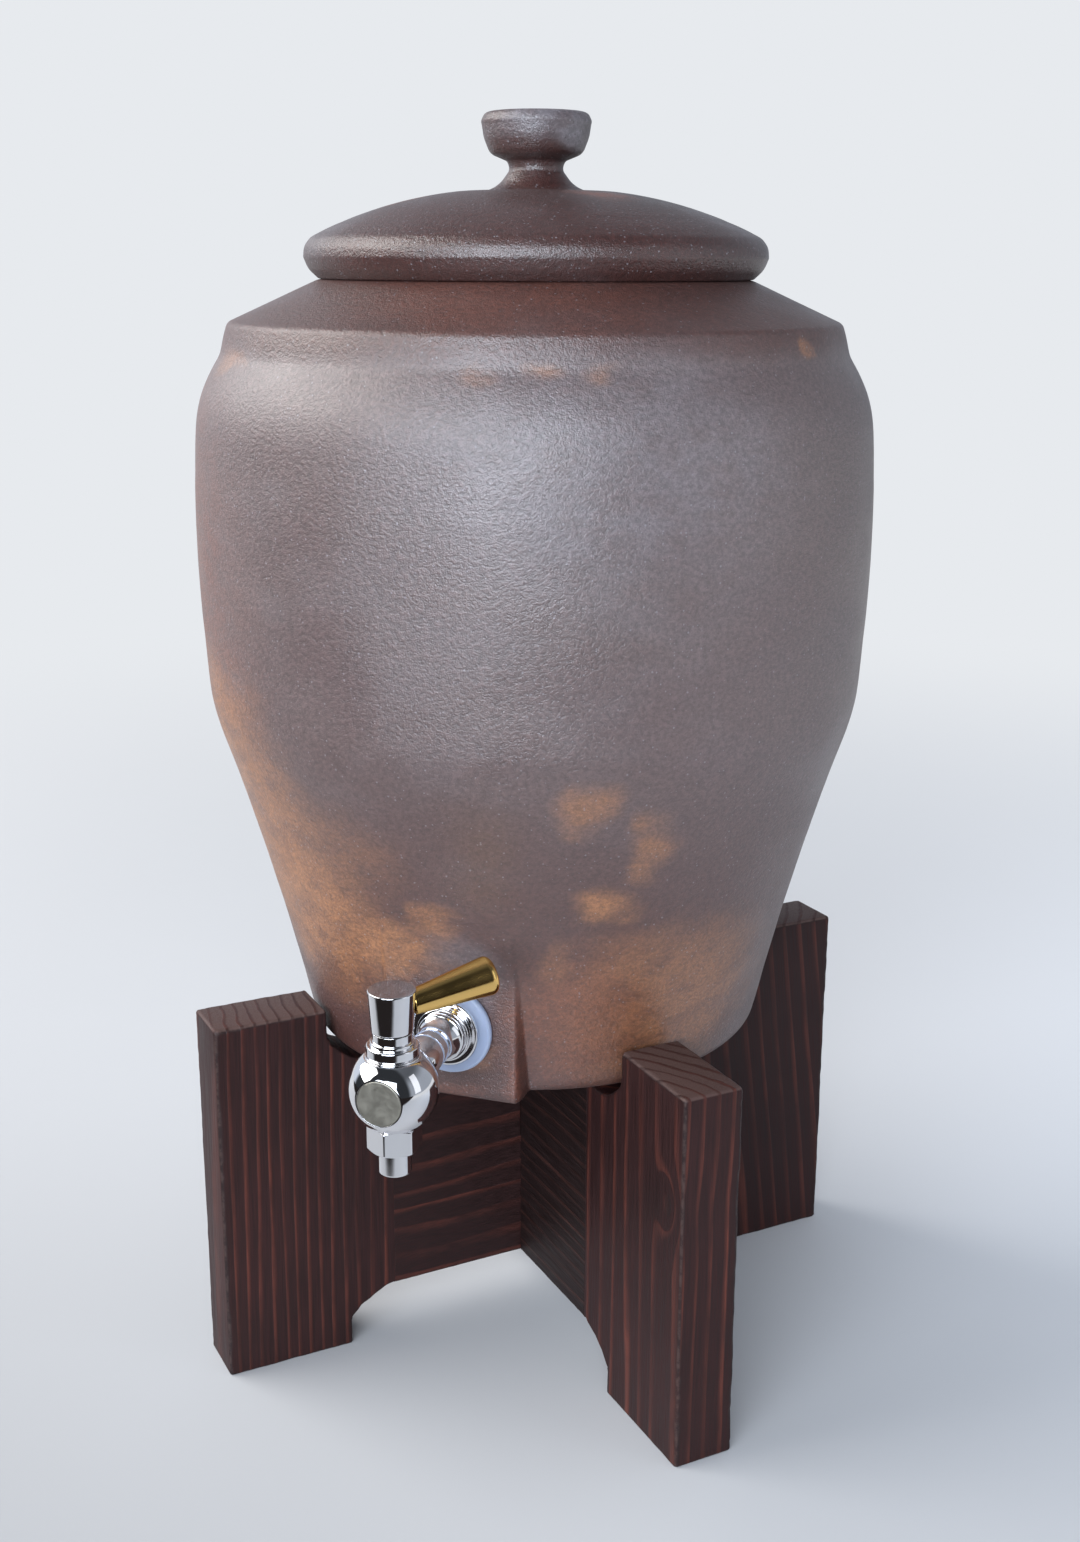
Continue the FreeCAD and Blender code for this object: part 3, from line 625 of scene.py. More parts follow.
class GroupMaker:
    """Builds each shared group once and places it in materials.

    A group's inputs are in the table; its method wires it and gives its outputs by name.
    """

    INPUTS = {
        Shared.CLAY_GRAIN: {"Place": "Vector", "Scale": "Float", "Speck Share": "Float"},
        Shared.FLASH_SPOT: {"Place": "Vector", "Centre": "Vector", "Reach": "Vector", "Core": "Float"},
        Shared.GROWTH_RINGS: {
            "Place": "Vector", "Heart": "Vector", "Spacing": "Float", "Waver": "Float",
            "Knot": "Vector", "Knot Reach": "Float",
        },
        Shared.HANDLING: {"Place": "Vector", "Scale": "Float", "Low": "Float", "High": "Float"},
        Shared.UNEVEN: {"Place": "Vector", "Scale": "Float", "Spread": "Float"},
    }

    def __init__(self) -> None:
        """Starts with no group built."""
        self.built: dict[Shared, NodeTree] = {}

    def use(self, net: Wiring, which: Shared, **feeds: Feed) -> Sequence[Socket]:
        """Places a group in a tree.

        Args:
            net: wiring of the tree that it goes into.
            which: the group.
            feeds: its inputs by name, with _ for a space.

        Returns:
            The outputs of the group's node.
        """
        if which not in self.built:
            self.built[which] = self._build(which)
        added = net.node("Group", node_tree=self.built[which])
        for name, value in feeds.items():
            net.feed(added.inputs[name.replace("_", " ")], value)
        return added.outputs

    def _build(self, which: Shared) -> NodeTree:
        """Makes a group's tree with its nodes and sockets.

        Args:
            which: the group, whose method has the same name as its value.

        Returns:
            The tree.
        """
        tree = bpy.data.node_groups.new(which.value, "ShaderNodeTree")
        for label, kind in self.INPUTS[which].items():
            tree.interface.new_socket(label, in_out="INPUT", socket_type=f"NodeSocket{kind}")
        given = tree.nodes.new("NodeGroupInput").outputs
        made = getattr(self, f"_{which.value}")(Wiring(tree), given)
        for label in made:
            tree.interface.new_socket(label, in_out="OUTPUT", socket_type="NodeSocketFloat")
        result = tree.nodes.new("NodeGroupOutput")
        for label, value in made.items():
            tree.links.new(value, result.inputs[label])
        return tree

    @staticmethod
    def _clay_grain(net: Wiring, given: Sequence[Socket]) -> dict[str, Socket]:
        """Wires the skin of fired clay: level streaks, fine tooth, pits and bright specks.

        Args:
            net: the group's wiring.
            given: its inputs by name.

        Returns:
            Its outputs by name.
        """
        place, scale = given["Place"], given["Scale"]
        streaks = net.noise(net.scaled(place, (1.0, 1.0, 1.25)), scale, 3.0, 0.6)
        tooth = net.noise(place, net.times(scale, 3.1), 1.0, 0.5)
        cells = net.node("TexVoronoi", {"Vector": place, "Scale": net.times(scale, 1.3)}).outputs
        pick = net.node("SeparateColor", {0: cells["Color"]}).outputs
        inside = net.math("LESS_THAN", cells["Distance"], net.spread(pick[1], 0.0, 1.0, 0.1, 0.3))
        specks = net.times(inside, net.math("LESS_THAN", pick[0], given["Speck Share"]))
        sunk = net.math("GREATER_THAN", pick[0], 0.87)
        pits = net.times(net.math("LESS_THAN", cells["Distance"], 0.2), sunk)
        height = net.plus(net.times(streaks, 0.65), net.times(tooth, 0.3), net.times(specks, 0.3))
        return {"Height": net.math("SUBTRACT", height, net.times(pits, 0.3)), "Specks": specks, "Pits": pits}

    @staticmethod
    def _flash_spot(net: Wiring, given: Sequence[Socket]) -> dict[str, Socket]:
        """Wires one soft-edged place on the clay: 1 in its middle, 0 beyond its reach.

        Args:
            net: the group's wiring.
            given: its inputs by name.

        Returns:
            Its outputs by name.
        """
        offset = net.vector("SUBTRACT", given["Place"], given["Centre"])
        distance = net.vector("LENGTH", net.vector("DIVIDE", offset, given["Reach"]))
        return {"Mask": net.spread(distance, given["Core"], 1.0, 1.0, 0.0)}

    @staticmethod
    def _growth_rings(net: Wiring, given: Sequence[Socket]) -> dict[str, Socket]:
        """Wires softwood: rings about a tree's heart along Z, wrapped round a knot, and fibres.

        Args:
            net: the group's wiring.
            given: its inputs by name.

        Returns:
            Its outputs by name.
        """
        place, knot_reach = given["Place"], given["Knot Reach"]
        along = net.scaled(place, (1.0, 1.0, 0.09))
        slow, fine = net.noise_vector(along, 22.0), net.noise_vector(along, 120.0)
        warp = net.resized(net.vector("ADD", slow, net.scaled(fine, (0.16, 0.16, 0.0))), given["Waver"])
        shifted = net.vector("ADD", net.vector("SUBTRACT", place, given["Heart"]), warp)
        from_heart = net.vector("LENGTH", net.scaled(shifted, (1.0, 1.0, 0.0)))
        to_knot = net.scaled(net.vector("SUBTRACT", place, given["Knot"]), (1.0, 0.35, 0.55))
        knot_far = net.math("DIVIDE", net.vector("LENGTH", to_knot), knot_reach)
        knot_pull = net.math("EXPONENT", net.times(knot_far, knot_far, -1.0))
        swell = net.times(knot_pull, knot_reach, 1.5)
        rings = net.math("DIVIDE", net.plus(from_heart, swell), given["Spacing"])
        part = net.math("FRACT", rings)
        rise, fall = net.spread(part, 0.6, 0.9), net.spread(part, 0.92, 1.0, 1.0, 0.0)
        year = net.noise(net.first("CombineXYZ", {0: net.math("FLOOR", rings)}), 3.7, 0.0)
        late = net.times(rise, fall, net.spread(year, 0.3, 0.7, 0.35, 1.0))
        fibres = net.noise(net.scaled(place, (1.0, 1.0, 0.028)), 1500.0, 2.0, 0.55)
        core = net.spread(knot_far, 0.22, 0.42, 1.0, 0.0)
        height = net.plus(net.times(late, 0.5), net.times(fibres, 0.5))
        return {"Late Wood": late, "Fibres": fibres, "Knot Core": core, "Height": height}

    @staticmethod
    def _handling_marks(net: Wiring, given: Sequence[Socket]) -> dict[str, Socket]:
        """Wires the traces of polishing and use: a shallow waviness and faint smears.

        Args:
            net: the group's wiring.
            given: its inputs by name.

        Returns:
            Its outputs by name.
        """
        place, scale = given["Place"], given["Scale"]
        smears = net.noise(place, scale, 4.0, 0.65)
        low, high = given["Low"], given["High"]
        feeds = {"Value": smears, "From Min": 0.35, "From Max": 0.75, "To Min": low, "To Max": high}
        waves = net.noise(place, net.times(scale, 1.7), 1.0, 0.4)
        return {"Roughness": net.first("MapRange", feeds), "Height": waves}

    @staticmethod
    def _uneven_tone(net: Wiring, given: Sequence[Socket]) -> dict[str, Socket]:
        """Wires a slow change of tone: a factor about 1 with a given spread.

        Args:
            net: the group's wiring.
            given: its inputs by name.

        Returns:
            Its outputs by name.
        """
        tone = net.noise(given["Place"], given["Scale"], 4.0, 0.6)
        swing = net.times(net.math("SUBTRACT", tone, 0.5), given["Spread"])
        return {"Factor": net.plus(swing, 1.0)}


GROUPS = GroupMaker()


def uneven(net: Wiring, place: Feed, scale: float, spread: float) -> Socket:
    """Gives a tone's factor about 1, which changes slowly from place to place."""
    return GROUPS.use(net, Shared.UNEVEN, Place=place, Scale=scale, Spread=spread)["Factor"]


def new_material(name: str) -> tuple[Material, Wiring]:
    """Makes a material with an empty node tree.

    Args:
        name: the material's name.

    Returns:
        The material and its wiring.
    """
    material = bpy.data.materials.new(name)
    material.use_nodes = True
    material.node_tree.nodes.clear()
    return material, Wiring(material.node_tree)


# Finishes


class Kiln(Enum):
    """What the fire leaves on a place of the clay; the ash colour also serves as painted sheen."""

    TAN = "tan"
    RUST = "rust"
    ASH_AND_SHEEN = "ash_and_sheen"


@dataclass(frozen=True)
class Mark:
    """A soft-edged place on turned clay, given by its angle, height and distance from the axis.

    Attributes:
        kind: what it looks like.
        angle: angle about the axis in degrees; the tap is at -90.
        up: height in millimetres.
        out: distance from the axis in millimetres.
        wide: half width in millimetres.
        tall: half height in millimetres.
        strength: how strong it is, up to 1.
        core: share of it that has full strength.
    """

    kind: Kiln
    angle: float
    up: float
    out: float
    wide: float
    tall: float
    strength: float = 1.0
    core: float = 0.2

    def share(self, net: Wiring, strayed: Socket, flecked: Socket) -> Socket:
        """Wires how much of the mark shows at a place.

        Args:
            net: the clay's wiring.
            strayed: the place, moved about a little so that the edge is ragged.
            flecked: how evenly the mark took.

        Returns:
            The share, from 0 to the mark's strength.
        """
        turn = math.radians(self.angle)
        centre = (self.out * math.cos(turn) * MM, self.out * math.sin(turn) * MM, self.up * MM)
        reach = (self.wide * MM, self.wide * MM, self.tall * MM)
        spot = GROUPS.use(net, Shared.FLASH_SPOT, Place=strayed, Centre=centre, Reach=reach, Core=self.core)
        return net.times(spot["Mask"], net.times(flecked, self.strength))


@dataclass(frozen=True)
class Stoneware:
    """Wood-fired clay without a glaze: satin, level-grained, with specks and flame marks.

    Attributes:
        name: the material's name.
        clay: its main colour.
        dark: the colour where the fire was smoky, which pits also take as painted shade.
        rust: orange-red of bare edges.
        tan: pale warm flame marks.
        ash_and_sheen: pale cool bloom of ash, which also serves as painted sheen where the belly and the knob
            catch the light.
        deep_brown: the deep brown that the colour turns towards near the foot and on the shoulder.
        marks: the flame marks, and pale marks of painted sheen.
        deep_brown_low: how much of the deep brown there is near the foot.
        deep_brown_top: how much of it there is on the shoulder.
        foot: heights in metres between which the deep brown near the foot fades out.
        shoulder: heights in metres between which the deep brown on the shoulder sets in.
        tone: unevenness of the main colour.
        bloom: how much ash lies over the main colour.
        speck_share: share of the cells that hold a bright speck.
        speck_blend: how far a speck takes the colour of ash.
        pit_blend: how far a pit takes the dark colour, as painted shade in the pit.
        grain_scale: how fine the grain is.
        grain_depth: depth of the grain, in metres.
        rough_low: least roughness.
        rough_high: greatest roughness.
        ior: index of refraction, which sets how bright the sheen is.
    """

    name: str
    clay: Colour
    dark: Colour
    rust: Colour
    tan: Colour
    ash_and_sheen: Colour
    deep_brown: Colour
    marks: tuple[Mark, ...]
    deep_brown_low: float = 0.0
    deep_brown_top: float = 0.0
    foot: tuple[float, float] = (0.19, 0.32)
    shoulder: tuple[float, float] = (0.415, 0.425)
    tone: float = 0.1
    bloom: float = 0.1
    speck_share: float = 0.15
    speck_blend: float = 0.65
    pit_blend: float = 0.7
    grain_scale: float = 600.0
    grain_depth: float = 0.00056
    rough_low: float = 0.4
    rough_high: float = 0.5
    ior: float = 2.0

    def build(self) -> Material:
        """Wires the finish: clay, a deeper brown near the foot and on the shoulder, flame marks and painted
        sheen, uneven tone, and grain whose relief is also painted as light and shade, one over the other.

        Returns:
            The material.
        """
        material, net = new_material(self.name)
        place = net.place()
        feeds = {"Place": place, "Scale": self.grain_scale, "Speck_Share": self.speck_share}
        grain = GROUPS.use(net, Shared.CLAY_GRAIN, **feeds)
        level = net.scaled(place, (1.0, 1.0, 1.7))
        clouds = net.noise(level, 11.0, 4.0, 0.6)
        wisps = net.noise(level, 26.0, 3.0, 0.55)
        colour = net.blend(net.spread(clouds, 0.3, 0.75, 0.0, 0.7), self.clay, self.dark)
        colour = net.blend(net.times(net.spread(wisps, 0.45, 0.75), self.bloom), colour, self.ash_and_sheen)
        # The colour turns darker and browner towards the foot and on the shoulder.
        height = net.plus(net.split(place)[2], net.times(clouds, 0.02))
        low = net.spread(height, *self.foot, self.deep_brown_low, 0.0)
        top = net.spread(height, *self.shoulder, 0.0, self.deep_brown_top)
        colour = net.blend(net.plus(low, top), colour, self.deep_brown)
        strayed = net.vector("ADD", place, net.resized(net.noise_vector(level, 34.0, 3.0), 0.024))
        flecked = net.spread(net.noise(level, 75.0, 5.0, 0.65), 0.34, 0.6, 0.5, 1.0)
        colours = {Kiln.TAN: self.tan, Kiln.RUST: self.rust, Kiln.ASH_AND_SHEEN: self.ash_and_sheen}
        for mark in self.marks:
            colour = net.blend(mark.share(net, strayed, flecked), colour, colours[mark.kind])
        colour = net.scaled(colour, uneven(net, strayed, 23.0, self.tone))
        # Painted light and shade: the colour is paler on the grain's raised parts and darker in its hollows,
        # following its height.
        colour = net.scaled(colour, net.spread(grain["Height"], 0.3, 0.7, 0.62, 1.38))
        colour = net.blend(net.times(grain["Specks"], self.speck_blend), colour, self.ash_and_sheen)
        net.end(net.shader({
            # Painted shade: pits take the dark colour.
            "Base Color": net.blend(net.times(grain["Pits"], self.pit_blend), colour, self.dark),
            "Roughness": net.spread(wisps, 0.3, 0.7, self.rough_low, self.rough_high),
            "IOR": self.ior,
            "Normal": net.bump(grain["Height"], self.grain_depth),
        }))
        return material


@dataclass(frozen=True)
class StainedWood:
    """Softwood board under a dark red-brown stain.

    Attributes:
        name: the material's name.
        heading: the board's direction about Z, in degrees.
        level: whether the grain runs along the board instead of upright.
        heart: the tree's heart across the grain, in metres.
        tilt: angles that lean the heart away from the grain, in degrees.
        spacing: width of a year's ring, in metres.
        waver: how far the rings stray, in metres.
        knot: place of a knot in the board's own frame, in metres.
        knot_reach: how far the knot turns the grain aside, in metres.
        top: height of the upper end, whose end grain is painted paler, partly as paler end grain and partly
            as a painted highlight on the top, in metres.
        stain: the stained colour between the rings.
        pale: colour of the late wood, which takes less stain.
        soaked: colour of edges and knots, which take more.
        bare_and_top_highlight: colour where the stain is rubbed off, which the upper end also takes as a
            painted highlight.
        grain_depth: depth of the grain, in metres.
        ior: index of refraction, which sets how bright the sheen is.
    """

    name: str
    heading: float
    level: bool
    heart: Triple
    tilt: tuple[float, float] = (0.0, 0.0)
    spacing: float = 0.0052
    waver: float = 0.012
    knot: Triple = (0.0, 0.0, -1.0)
    knot_reach: float = 0.012
    top: float = 1.0
    stain: Colour = shade(42, 19, 18)
    pale: Colour = shade(92, 46, 36)
    soaked: Colour = shade(27, 18, 19)
    bare_and_top_highlight: Colour = shade(122, 98, 92)
    grain_depth: float = 0.00022
    ior: float = 1.37

    def grain_place(self, net: Wiring, place: Socket) -> Socket:
        """Turns the place so that the grain runs along Z and the heart leans as it should.

        Args:
            net: the wood's wiring.
            place: the place in the part.

        Returns:
            The place in the board's own frame.
        """
        turns = [(0.0, 0.0, -math.radians(self.heading))]
        if self.level:
            turns.append((0.0, -math.pi / 2, 0.0))
        turns.append((math.radians(self.tilt[0]), math.radians(self.tilt[1]), 0.0))
        for turn in turns:
            place = net.first("Mapping", {"Vector": place, "Rotation": turn})
        return place

    def build(self) -> Material:
        """Wires the finish: rings, fibres and knot, then the wear of the arrises and the paler upper end,
        which is partly end grain and partly painted highlight.

        Returns:
            The material.
        """
        material, net = new_material(self.name)
        place = net.place()
        grain = self.grain_place(net, place)
        rings = GROUPS.use(
            net, Shared.GROWTH_RINGS, Place=grain, Heart=self.heart, Spacing=self.spacing,
            Waver=self.waver, Knot=self.knot, Knot_Reach=self.knot_reach,
        )
        late, fibres = rings["Late Wood"], rings["Fibres"]
        strength = net.spread(net.noise(grain, 30.0, 3.0, 0.6), 0.32, 0.66, 0.25, 0.95)
        colour = net.blend(net.times(late, strength), self.stain, self.pale)
        colour = net.scaled(colour, net.spread(fibres, 0.3, 0.7, 0.72, 1.26))
        colour = net.scaled(colour, uneven(net, place, 16.0, 0.9))
        colour = net.blend(net.times(rings["Knot Core"], 0.6), colour, self.soaked)
        worn = net.node("Attribute", attribute_name="wear").outputs["Fac"]
        patchy = net.spread(net.noise(place, 260.0, 3.0, 0.7), 0.4, 0.62)
        colour = net.blend(net.times(worn, 0.72), colour, self.soaked)
        colour = net.blend(net.times(net.math("POWER", worn, 3.0), patchy, 0.22), colour, self.bare_and_top_highlight)
        # Painted highlight and end grain: the upper end takes the bare colour, partly as paler end grain and
        # partly as light on the top.
        end_grain_and_top_highlight = net.spread(net.split(place)[2], self.top - 0.0012, self.top - 0.0005, 0.0, 0.4)
        end_grain_and_top_highlight = net.times(end_grain_and_top_highlight, net.spread(late, 0.0, 0.6, 1.0, 0.2))
        net.end(net.shader({
            "Base Color": net.blend(end_grain_and_top_highlight, colour, self.bare_and_top_highlight),
            "Roughness": net.spread(fibres, 0.25, 0.75, 0.46, 0.66),
            "IOR": self.ior,
            "Normal": net.bump(rings["Height"], self.grain_depth),
        }))
        return material


@dataclass(frozen=True)
class Handled:
    """A plain finish with the marks of polishing, moulding and use.

    Attributes:
        name: the material's name.
        colour: its colour.
        rough_low: least roughness.
        rough_high: greatest roughness, where it is smeared.
        scale: how fine the smears are.
        tone_scale: how fine the unevenness of its tone is.
        tone: how uneven its tone is.
        wave: depth of its waviness, in metres.
        more: what other inputs of the shader take.
    """

    name: str
    colour: Colour
    rough_low: float
    rough_high: float
    scale: float
    tone_scale: float
    tone: float
    wave: float
    more: dict[str, Feed]

    def build(self) -> Material:
        """Wires the finish.

        Returns:
            The material.
        """
        material, net = new_material(self.name)
        place = net.place()
        feeds = {"Place": place, "Scale": self.scale, "Low": self.rough_low, "High": self.rough_high}
        marks = GROUPS.use(net, Shared.HANDLING, **feeds)
        net.end(net.shader({
            "Base Color": net.scaled(self.colour[:3], uneven(net, place, self.tone_scale, self.tone)),
            "Roughness": marks["Roughness"],
            "Normal": net.bump(marks["Height"], self.wave),
            **self.more,
        }))
        return material


def metal(
    name: str, colour: Colour, edge: Colour, rough: tuple[float, float], scale: float = 90.0,
    wave: float = 0.00002,
) -> Handled:
    """Gives turned metal; it mirrors its colour seen square on and the edge's seen at a glance."""
    more = {"Metallic": 1.0, "Specular Tint": edge}
    return Handled(name, colour, *rough, scale, scale * 2, 0.08, wave, more)


def moulded(name: str, colour: Colour, rough: float, glow: float = 0.0, reach: float = 0.002) -> Handled:
    """Gives rubber, silicone or plain wood; a share of light, the glow, reaches under its skin."""
    more = {"Subsurface Weight": glow, "Subsurface Scale": reach, "Subsurface Radius": (1.0, 1.0, 1.1)}
    return Handled(name, colour, rough * 0.85, rough * 1.2, 220.0, 140.0, 0.16, 0.00003, more if glow else {})


# The pot


def smooth_least(first: Array, second: Array, width: float) -> Array:
    """Gives the lesser of two arrays, eased by a parabola where they are within a width."""
    near = np.maximum(width - np.abs(first - second), 0) / width
    return np.minimum(first, second) - near * near * width / 4


def smooth_most(first: Array, second: Array, width: float) -> Array:
    """Gives the greater of two arrays, eased by a parabola where they are within a width."""
    return -smooth_least(-first, -second, width)


@dataclass
class Pot:
    """The thrown pot with its tap panel, and its lid.

    The wall is a turned outline. Round the tap, its distance from the axis is the lesser of the
    wall and a flat panel, and the greater of that and a boss with rounded sides.

    Attributes:
        wall: thickness of the wall.
        floor: thickness of the floor.
        panel_half: half the boss's width.
        panel_corner: rounding of its corners.
        panel_straight: height up to which the panel is upright.
        panel_top: height at which it meets the wall again.
        panel_lean: how far it leans out by there.
        pad_depth: thickness of clay behind the panel.
        boss_top: height of the boss.
        foot_ease: rounding of the boss at the foot.
        columns: steps round the pot.
        step: step along the outline.
        seed: seed of the thrower's marks.
        pot: where the pot belongs.
        cover: where the lid belongs.
    """

    wall: float = 7.6
    floor: float = 9.5
    panel_half: float = 27.0
    panel_corner: float = 8.0
    panel_straight: float = 182.0
    panel_top: float = 213.0
    panel_lean: float = 12.3
    pad_depth: float = 15.3
    boss_top: float = 204.0
    foot_ease: float = 5.0
    columns: int = 330
    step: float = 2.4
    seed: int = 11
    pot: Piece = field(default_factory=lambda: Piece("pot_shell", "pot", "stoneware", "pot_body"))
    cover: Piece = field(default_factory=lambda: Piece("lid_shell", "lid", "lid_stoneware", "lid"))

    # Cosines of the angle from the tap: where the panel may reach, and the least to divide by
    FACING = 0.55
    LEAST_FACING = 0.2
    # A distance that limits nothing, and the widths of the eased meetings, in millimetres
    FAR = 1e3
    PRESS_EASE = 3.2
    BOSS_EASE = 2.6
    PAD_EASE = 4.0
    # Columns beside the panel's corners: how much closer, over what angle, and the same on the panel
    CORNER_CROWD = 3.5
    CORNER_REACH = 0.075
    PANEL_CROWD = 0.8
    PANEL_REACH = 0.5

    def __post_init__(self) -> None:
        """Takes the heights and the panel's plane from the frame."""
        low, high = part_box("pot_body")
        self.base = low.z / MM
        self.seat = high.z / MM
        self.panel = -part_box("outer_washer")[1].y / MM

    def build(self, clay: Material, lid_clay: Material) -> None:
        """Makes the pot and its lid.

        Args:
            clay: the pot's finish.
            lid_clay: the lid's finish.
        """
        axis = Axis((0.0, 0.0, 0.0))
        outer = self.outer_outline()
        shell = turned(axis, outer, change=self.shape_wall, angles=self.columns_round())
        inner = turned(axis, self.inner_outline(), change=self.shape_hollow, angles=self.columns_round(0.5))
        self.pot.place([shell, inner], clay)
        self.cover.place([turned(axis, self.lid_outline(), columns=240, change=self.shape_lid)], lid_clay)

    def columns_round(self, share: float = 1.0) -> Array:
        """Spaces the columns so that they are three times as close beside the panel's two corners.

        Args:
            share: share of the columns that is used.

        Returns:
            Angles in radians.
        """
        fine = np.linspace(-math.pi, math.pi, 4001)
        corner = math.atan2(self.panel_half, self.panel)
        from_tap = np.abs((fine + math.pi / 2 + math.pi) % (2 * math.pi) - math.pi)
        near_corner = np.exp(-(((from_tap - corner) / self.CORNER_REACH) ** 2))
        crowd = 1 + self.CORNER_CROWD * near_corner + self.PANEL_CROWD * (from_tap < self.PANEL_REACH)
        total = np.concatenate([[0], np.cumsum((crowd[1:] + crowd[:-1]) / 2)])
        count = round(self.columns * share)
        return np.interp(np.arange(count) / count * total[-1], total, fine)

    def outer_outline(self) -> Outline:
        """Gives the outside from the foot's middle to the mouth's edge."""
        corners = chain(
            (0, self.base), (85, self.base, 2.5), (93.4, self.base + 6.6, 1.5, -8),
            (125.6, 260, 12, 1200), (130.2, 287, 9, -75), (130.6, 384, 8, -560),
            (121.6, 404.4, 1.3, -68), (120.6, 406.6, 0.9), (119.2, 412.7, 1.6), (117.6, 417.6, 1.6),
            (82.5, self.seat, 2.0), (65.2, self.seat, 1.2), (64.0, self.seat - 1.2),
        )
        return Outline(corners, self.step)

    def inner_outline(self) -> Outline:
        """Gives the inside from the mouth's edge to the middle of the floor.

        Returns:
            The outline.
        """
        inside = self.wall
        corners = chain(
            (64.0, self.seat - 1.2), (64.0, self.seat - 8.6, 2.5), (84.0, self.seat - 8.6, 2.0),
            (105.0, 414.4, 3.0), (121.6 - inside, 399.4, 3.0), (130.6 - inside, 384, 6.0, 68),
            (130.2 - inside, 287, 8.0, 560), (125.6 - inside, 260, 8.0, 75),
            (93.4 - inside, self.base + 15.6, 2.0, -1200),
            (85.0 - inside, self.base + self.floor, 2.0, 10), (0, self.base + self.floor),
        )
        return Outline(corners, self.step * 1.8)

    def panel_reach(self, up: Array) -> Array:
        """Gives the panel's distance from the axis: upright, then leaning out along a parabola."""
        lean = np.clip((up - self.panel_straight) / (self.panel_top - self.panel_straight), 0, 1.6)
        return self.panel + self.panel_lean * lean * lean

    def shape_wall(self, out: Array, up: Array, angle: Array) -> Array:
        """Presses the panel into the wall, fills out the boss and adds the thrower's marks.

        Args:
            out: the turned wall's distance from the axis.
            up: height.
            angle: angle about the axis.

        Returns:
            The new distance.
        """
        from_tap = angle + math.pi / 2
        facing = np.cos(from_tap)
        panel = self.panel_reach(up) / np.maximum(facing, self.LEAST_FACING)
        plane = np.where((facing > self.FACING) & (up > self.base + 12), panel, self.FAR)
        side = self.panel_half / np.maximum(np.abs(np.sin(from_tap)), 0.05)
        rise = np.clip((self.base + self.foot_ease - up) / self.foot_ease, 0, 1)
        tuck = self.foot_ease * (1 - np.sqrt(1 - rise * rise * 0.999))
        boss = smooth_least(panel, side, self.panel_corner) - tuck
        present = (facing > self.FACING) & (up < self.boss_top) & (out > 60)
        boss = np.where(present, boss, 0)
        pressed = smooth_least(out, plane, self.PRESS_EASE)
        shaped = np.where(boss > 0, smooth_most(pressed, boss, self.BOSS_EASE), pressed)
        return shaped + self.throwing_marks(up, angle, out)

    def throwing_marks(self, up: Array, angle: Array, out: Array) -> Array:
        """Gives the faint rings and lean that hands and wheel leave, in millimetres.

        Args:
            up: height.
            angle: angle about the axis.
            out: distance from the axis.

        Returns:
            What they add to the distance from the axis.
        """
        rng = np.random.default_rng(self.seed)
        heights = np.linspace(self.base, self.seat, 600)
        rings = 0.05 * soft_noise(rng, 600, 16) + 0.02 * soft_noise(rng, 600, 6)
        ring = np.interp(up, heights, rings)
        lean = 0.35 * np.sin(2 * angle + 0.7) + 0.2 * np.sin(3 * angle + up * 0.01)
        rise = np.clip((out - 70) / 20, 0, 1) * np.clip((up - self.base) / 12, 0, 1)
        return (ring + lean) * rise

    def shape_hollow(self, out: Array, up: Array, angle: Array) -> Array:
        """Keeps a pad of clay behind the panel inside the pot.

        Args:
            out: the turned hollow's distance from the axis.
            up: height.
            angle: angle about the axis.

        Returns:
            The new distance.
        """
        facing = np.cos(angle + math.pi / 2)
        pad = (self.panel_reach(up) - self.pad_depth) / np.maximum(facing, self.LEAST_FACING)
        near = (facing > 0.9) & (out > 50)
        return np.where(near, smooth_least(out, pad, self.PAD_EASE), out)

    def lid_outline(self) -> Outline:
        """Gives the lid from under its dome, round its lip and rim, to the top of its knob.

        Returns:
            The outline.
        """
        seat = self.seat
        corners = chain(
            (0, 457.6), (54.6, seat + 12, 3.0, 150), (54.6, seat - 11, 1.5), (61.6, seat - 11, 1.5),
            (61.6, seat, 1.0), (83.2, seat, 0.8), (86.2, seat + 2.8, 1.2),
            (88.8, seat + 9.8, 2.6, -12), (84.6, seat + 15.8, 2.4, -9), (25, 466, 6.0, -160),
            (12, 470.6, 1.6, 12.5), (10, 473.4, 1.0), (10.8, 476.6, 1.0), (17.4, 479.3, 2.2),
            (20.7, 490.6, 1.6, -34), (17.1, 494.3, 1.6, -3.7), (0, 494.3),
        )
        return Outline(corners, 1.6)

    def shape_lid(self, out: Array, up: Array, angle: Array) -> Array:
        """Adds faint rings and a slight lean to the lid.

        Args:
            out: distance from the axis.
            up: height.
            angle: angle about the axis.

        Returns:
            The new distance.
        """
        rng = np.random.default_rng(self.seed + 1)
        heights = np.linspace(440, 495, 300)
        ring = np.interp(up, heights, 0.12 * soft_noise(rng, 300, 8))
        lean = 0.25 * np.sin(2 * angle + 1.9) + 0.12 * np.sin(3 * angle + 0.4)
        return out + (ring + lean) * np.clip(out / 20, 0, 1)


# The stand


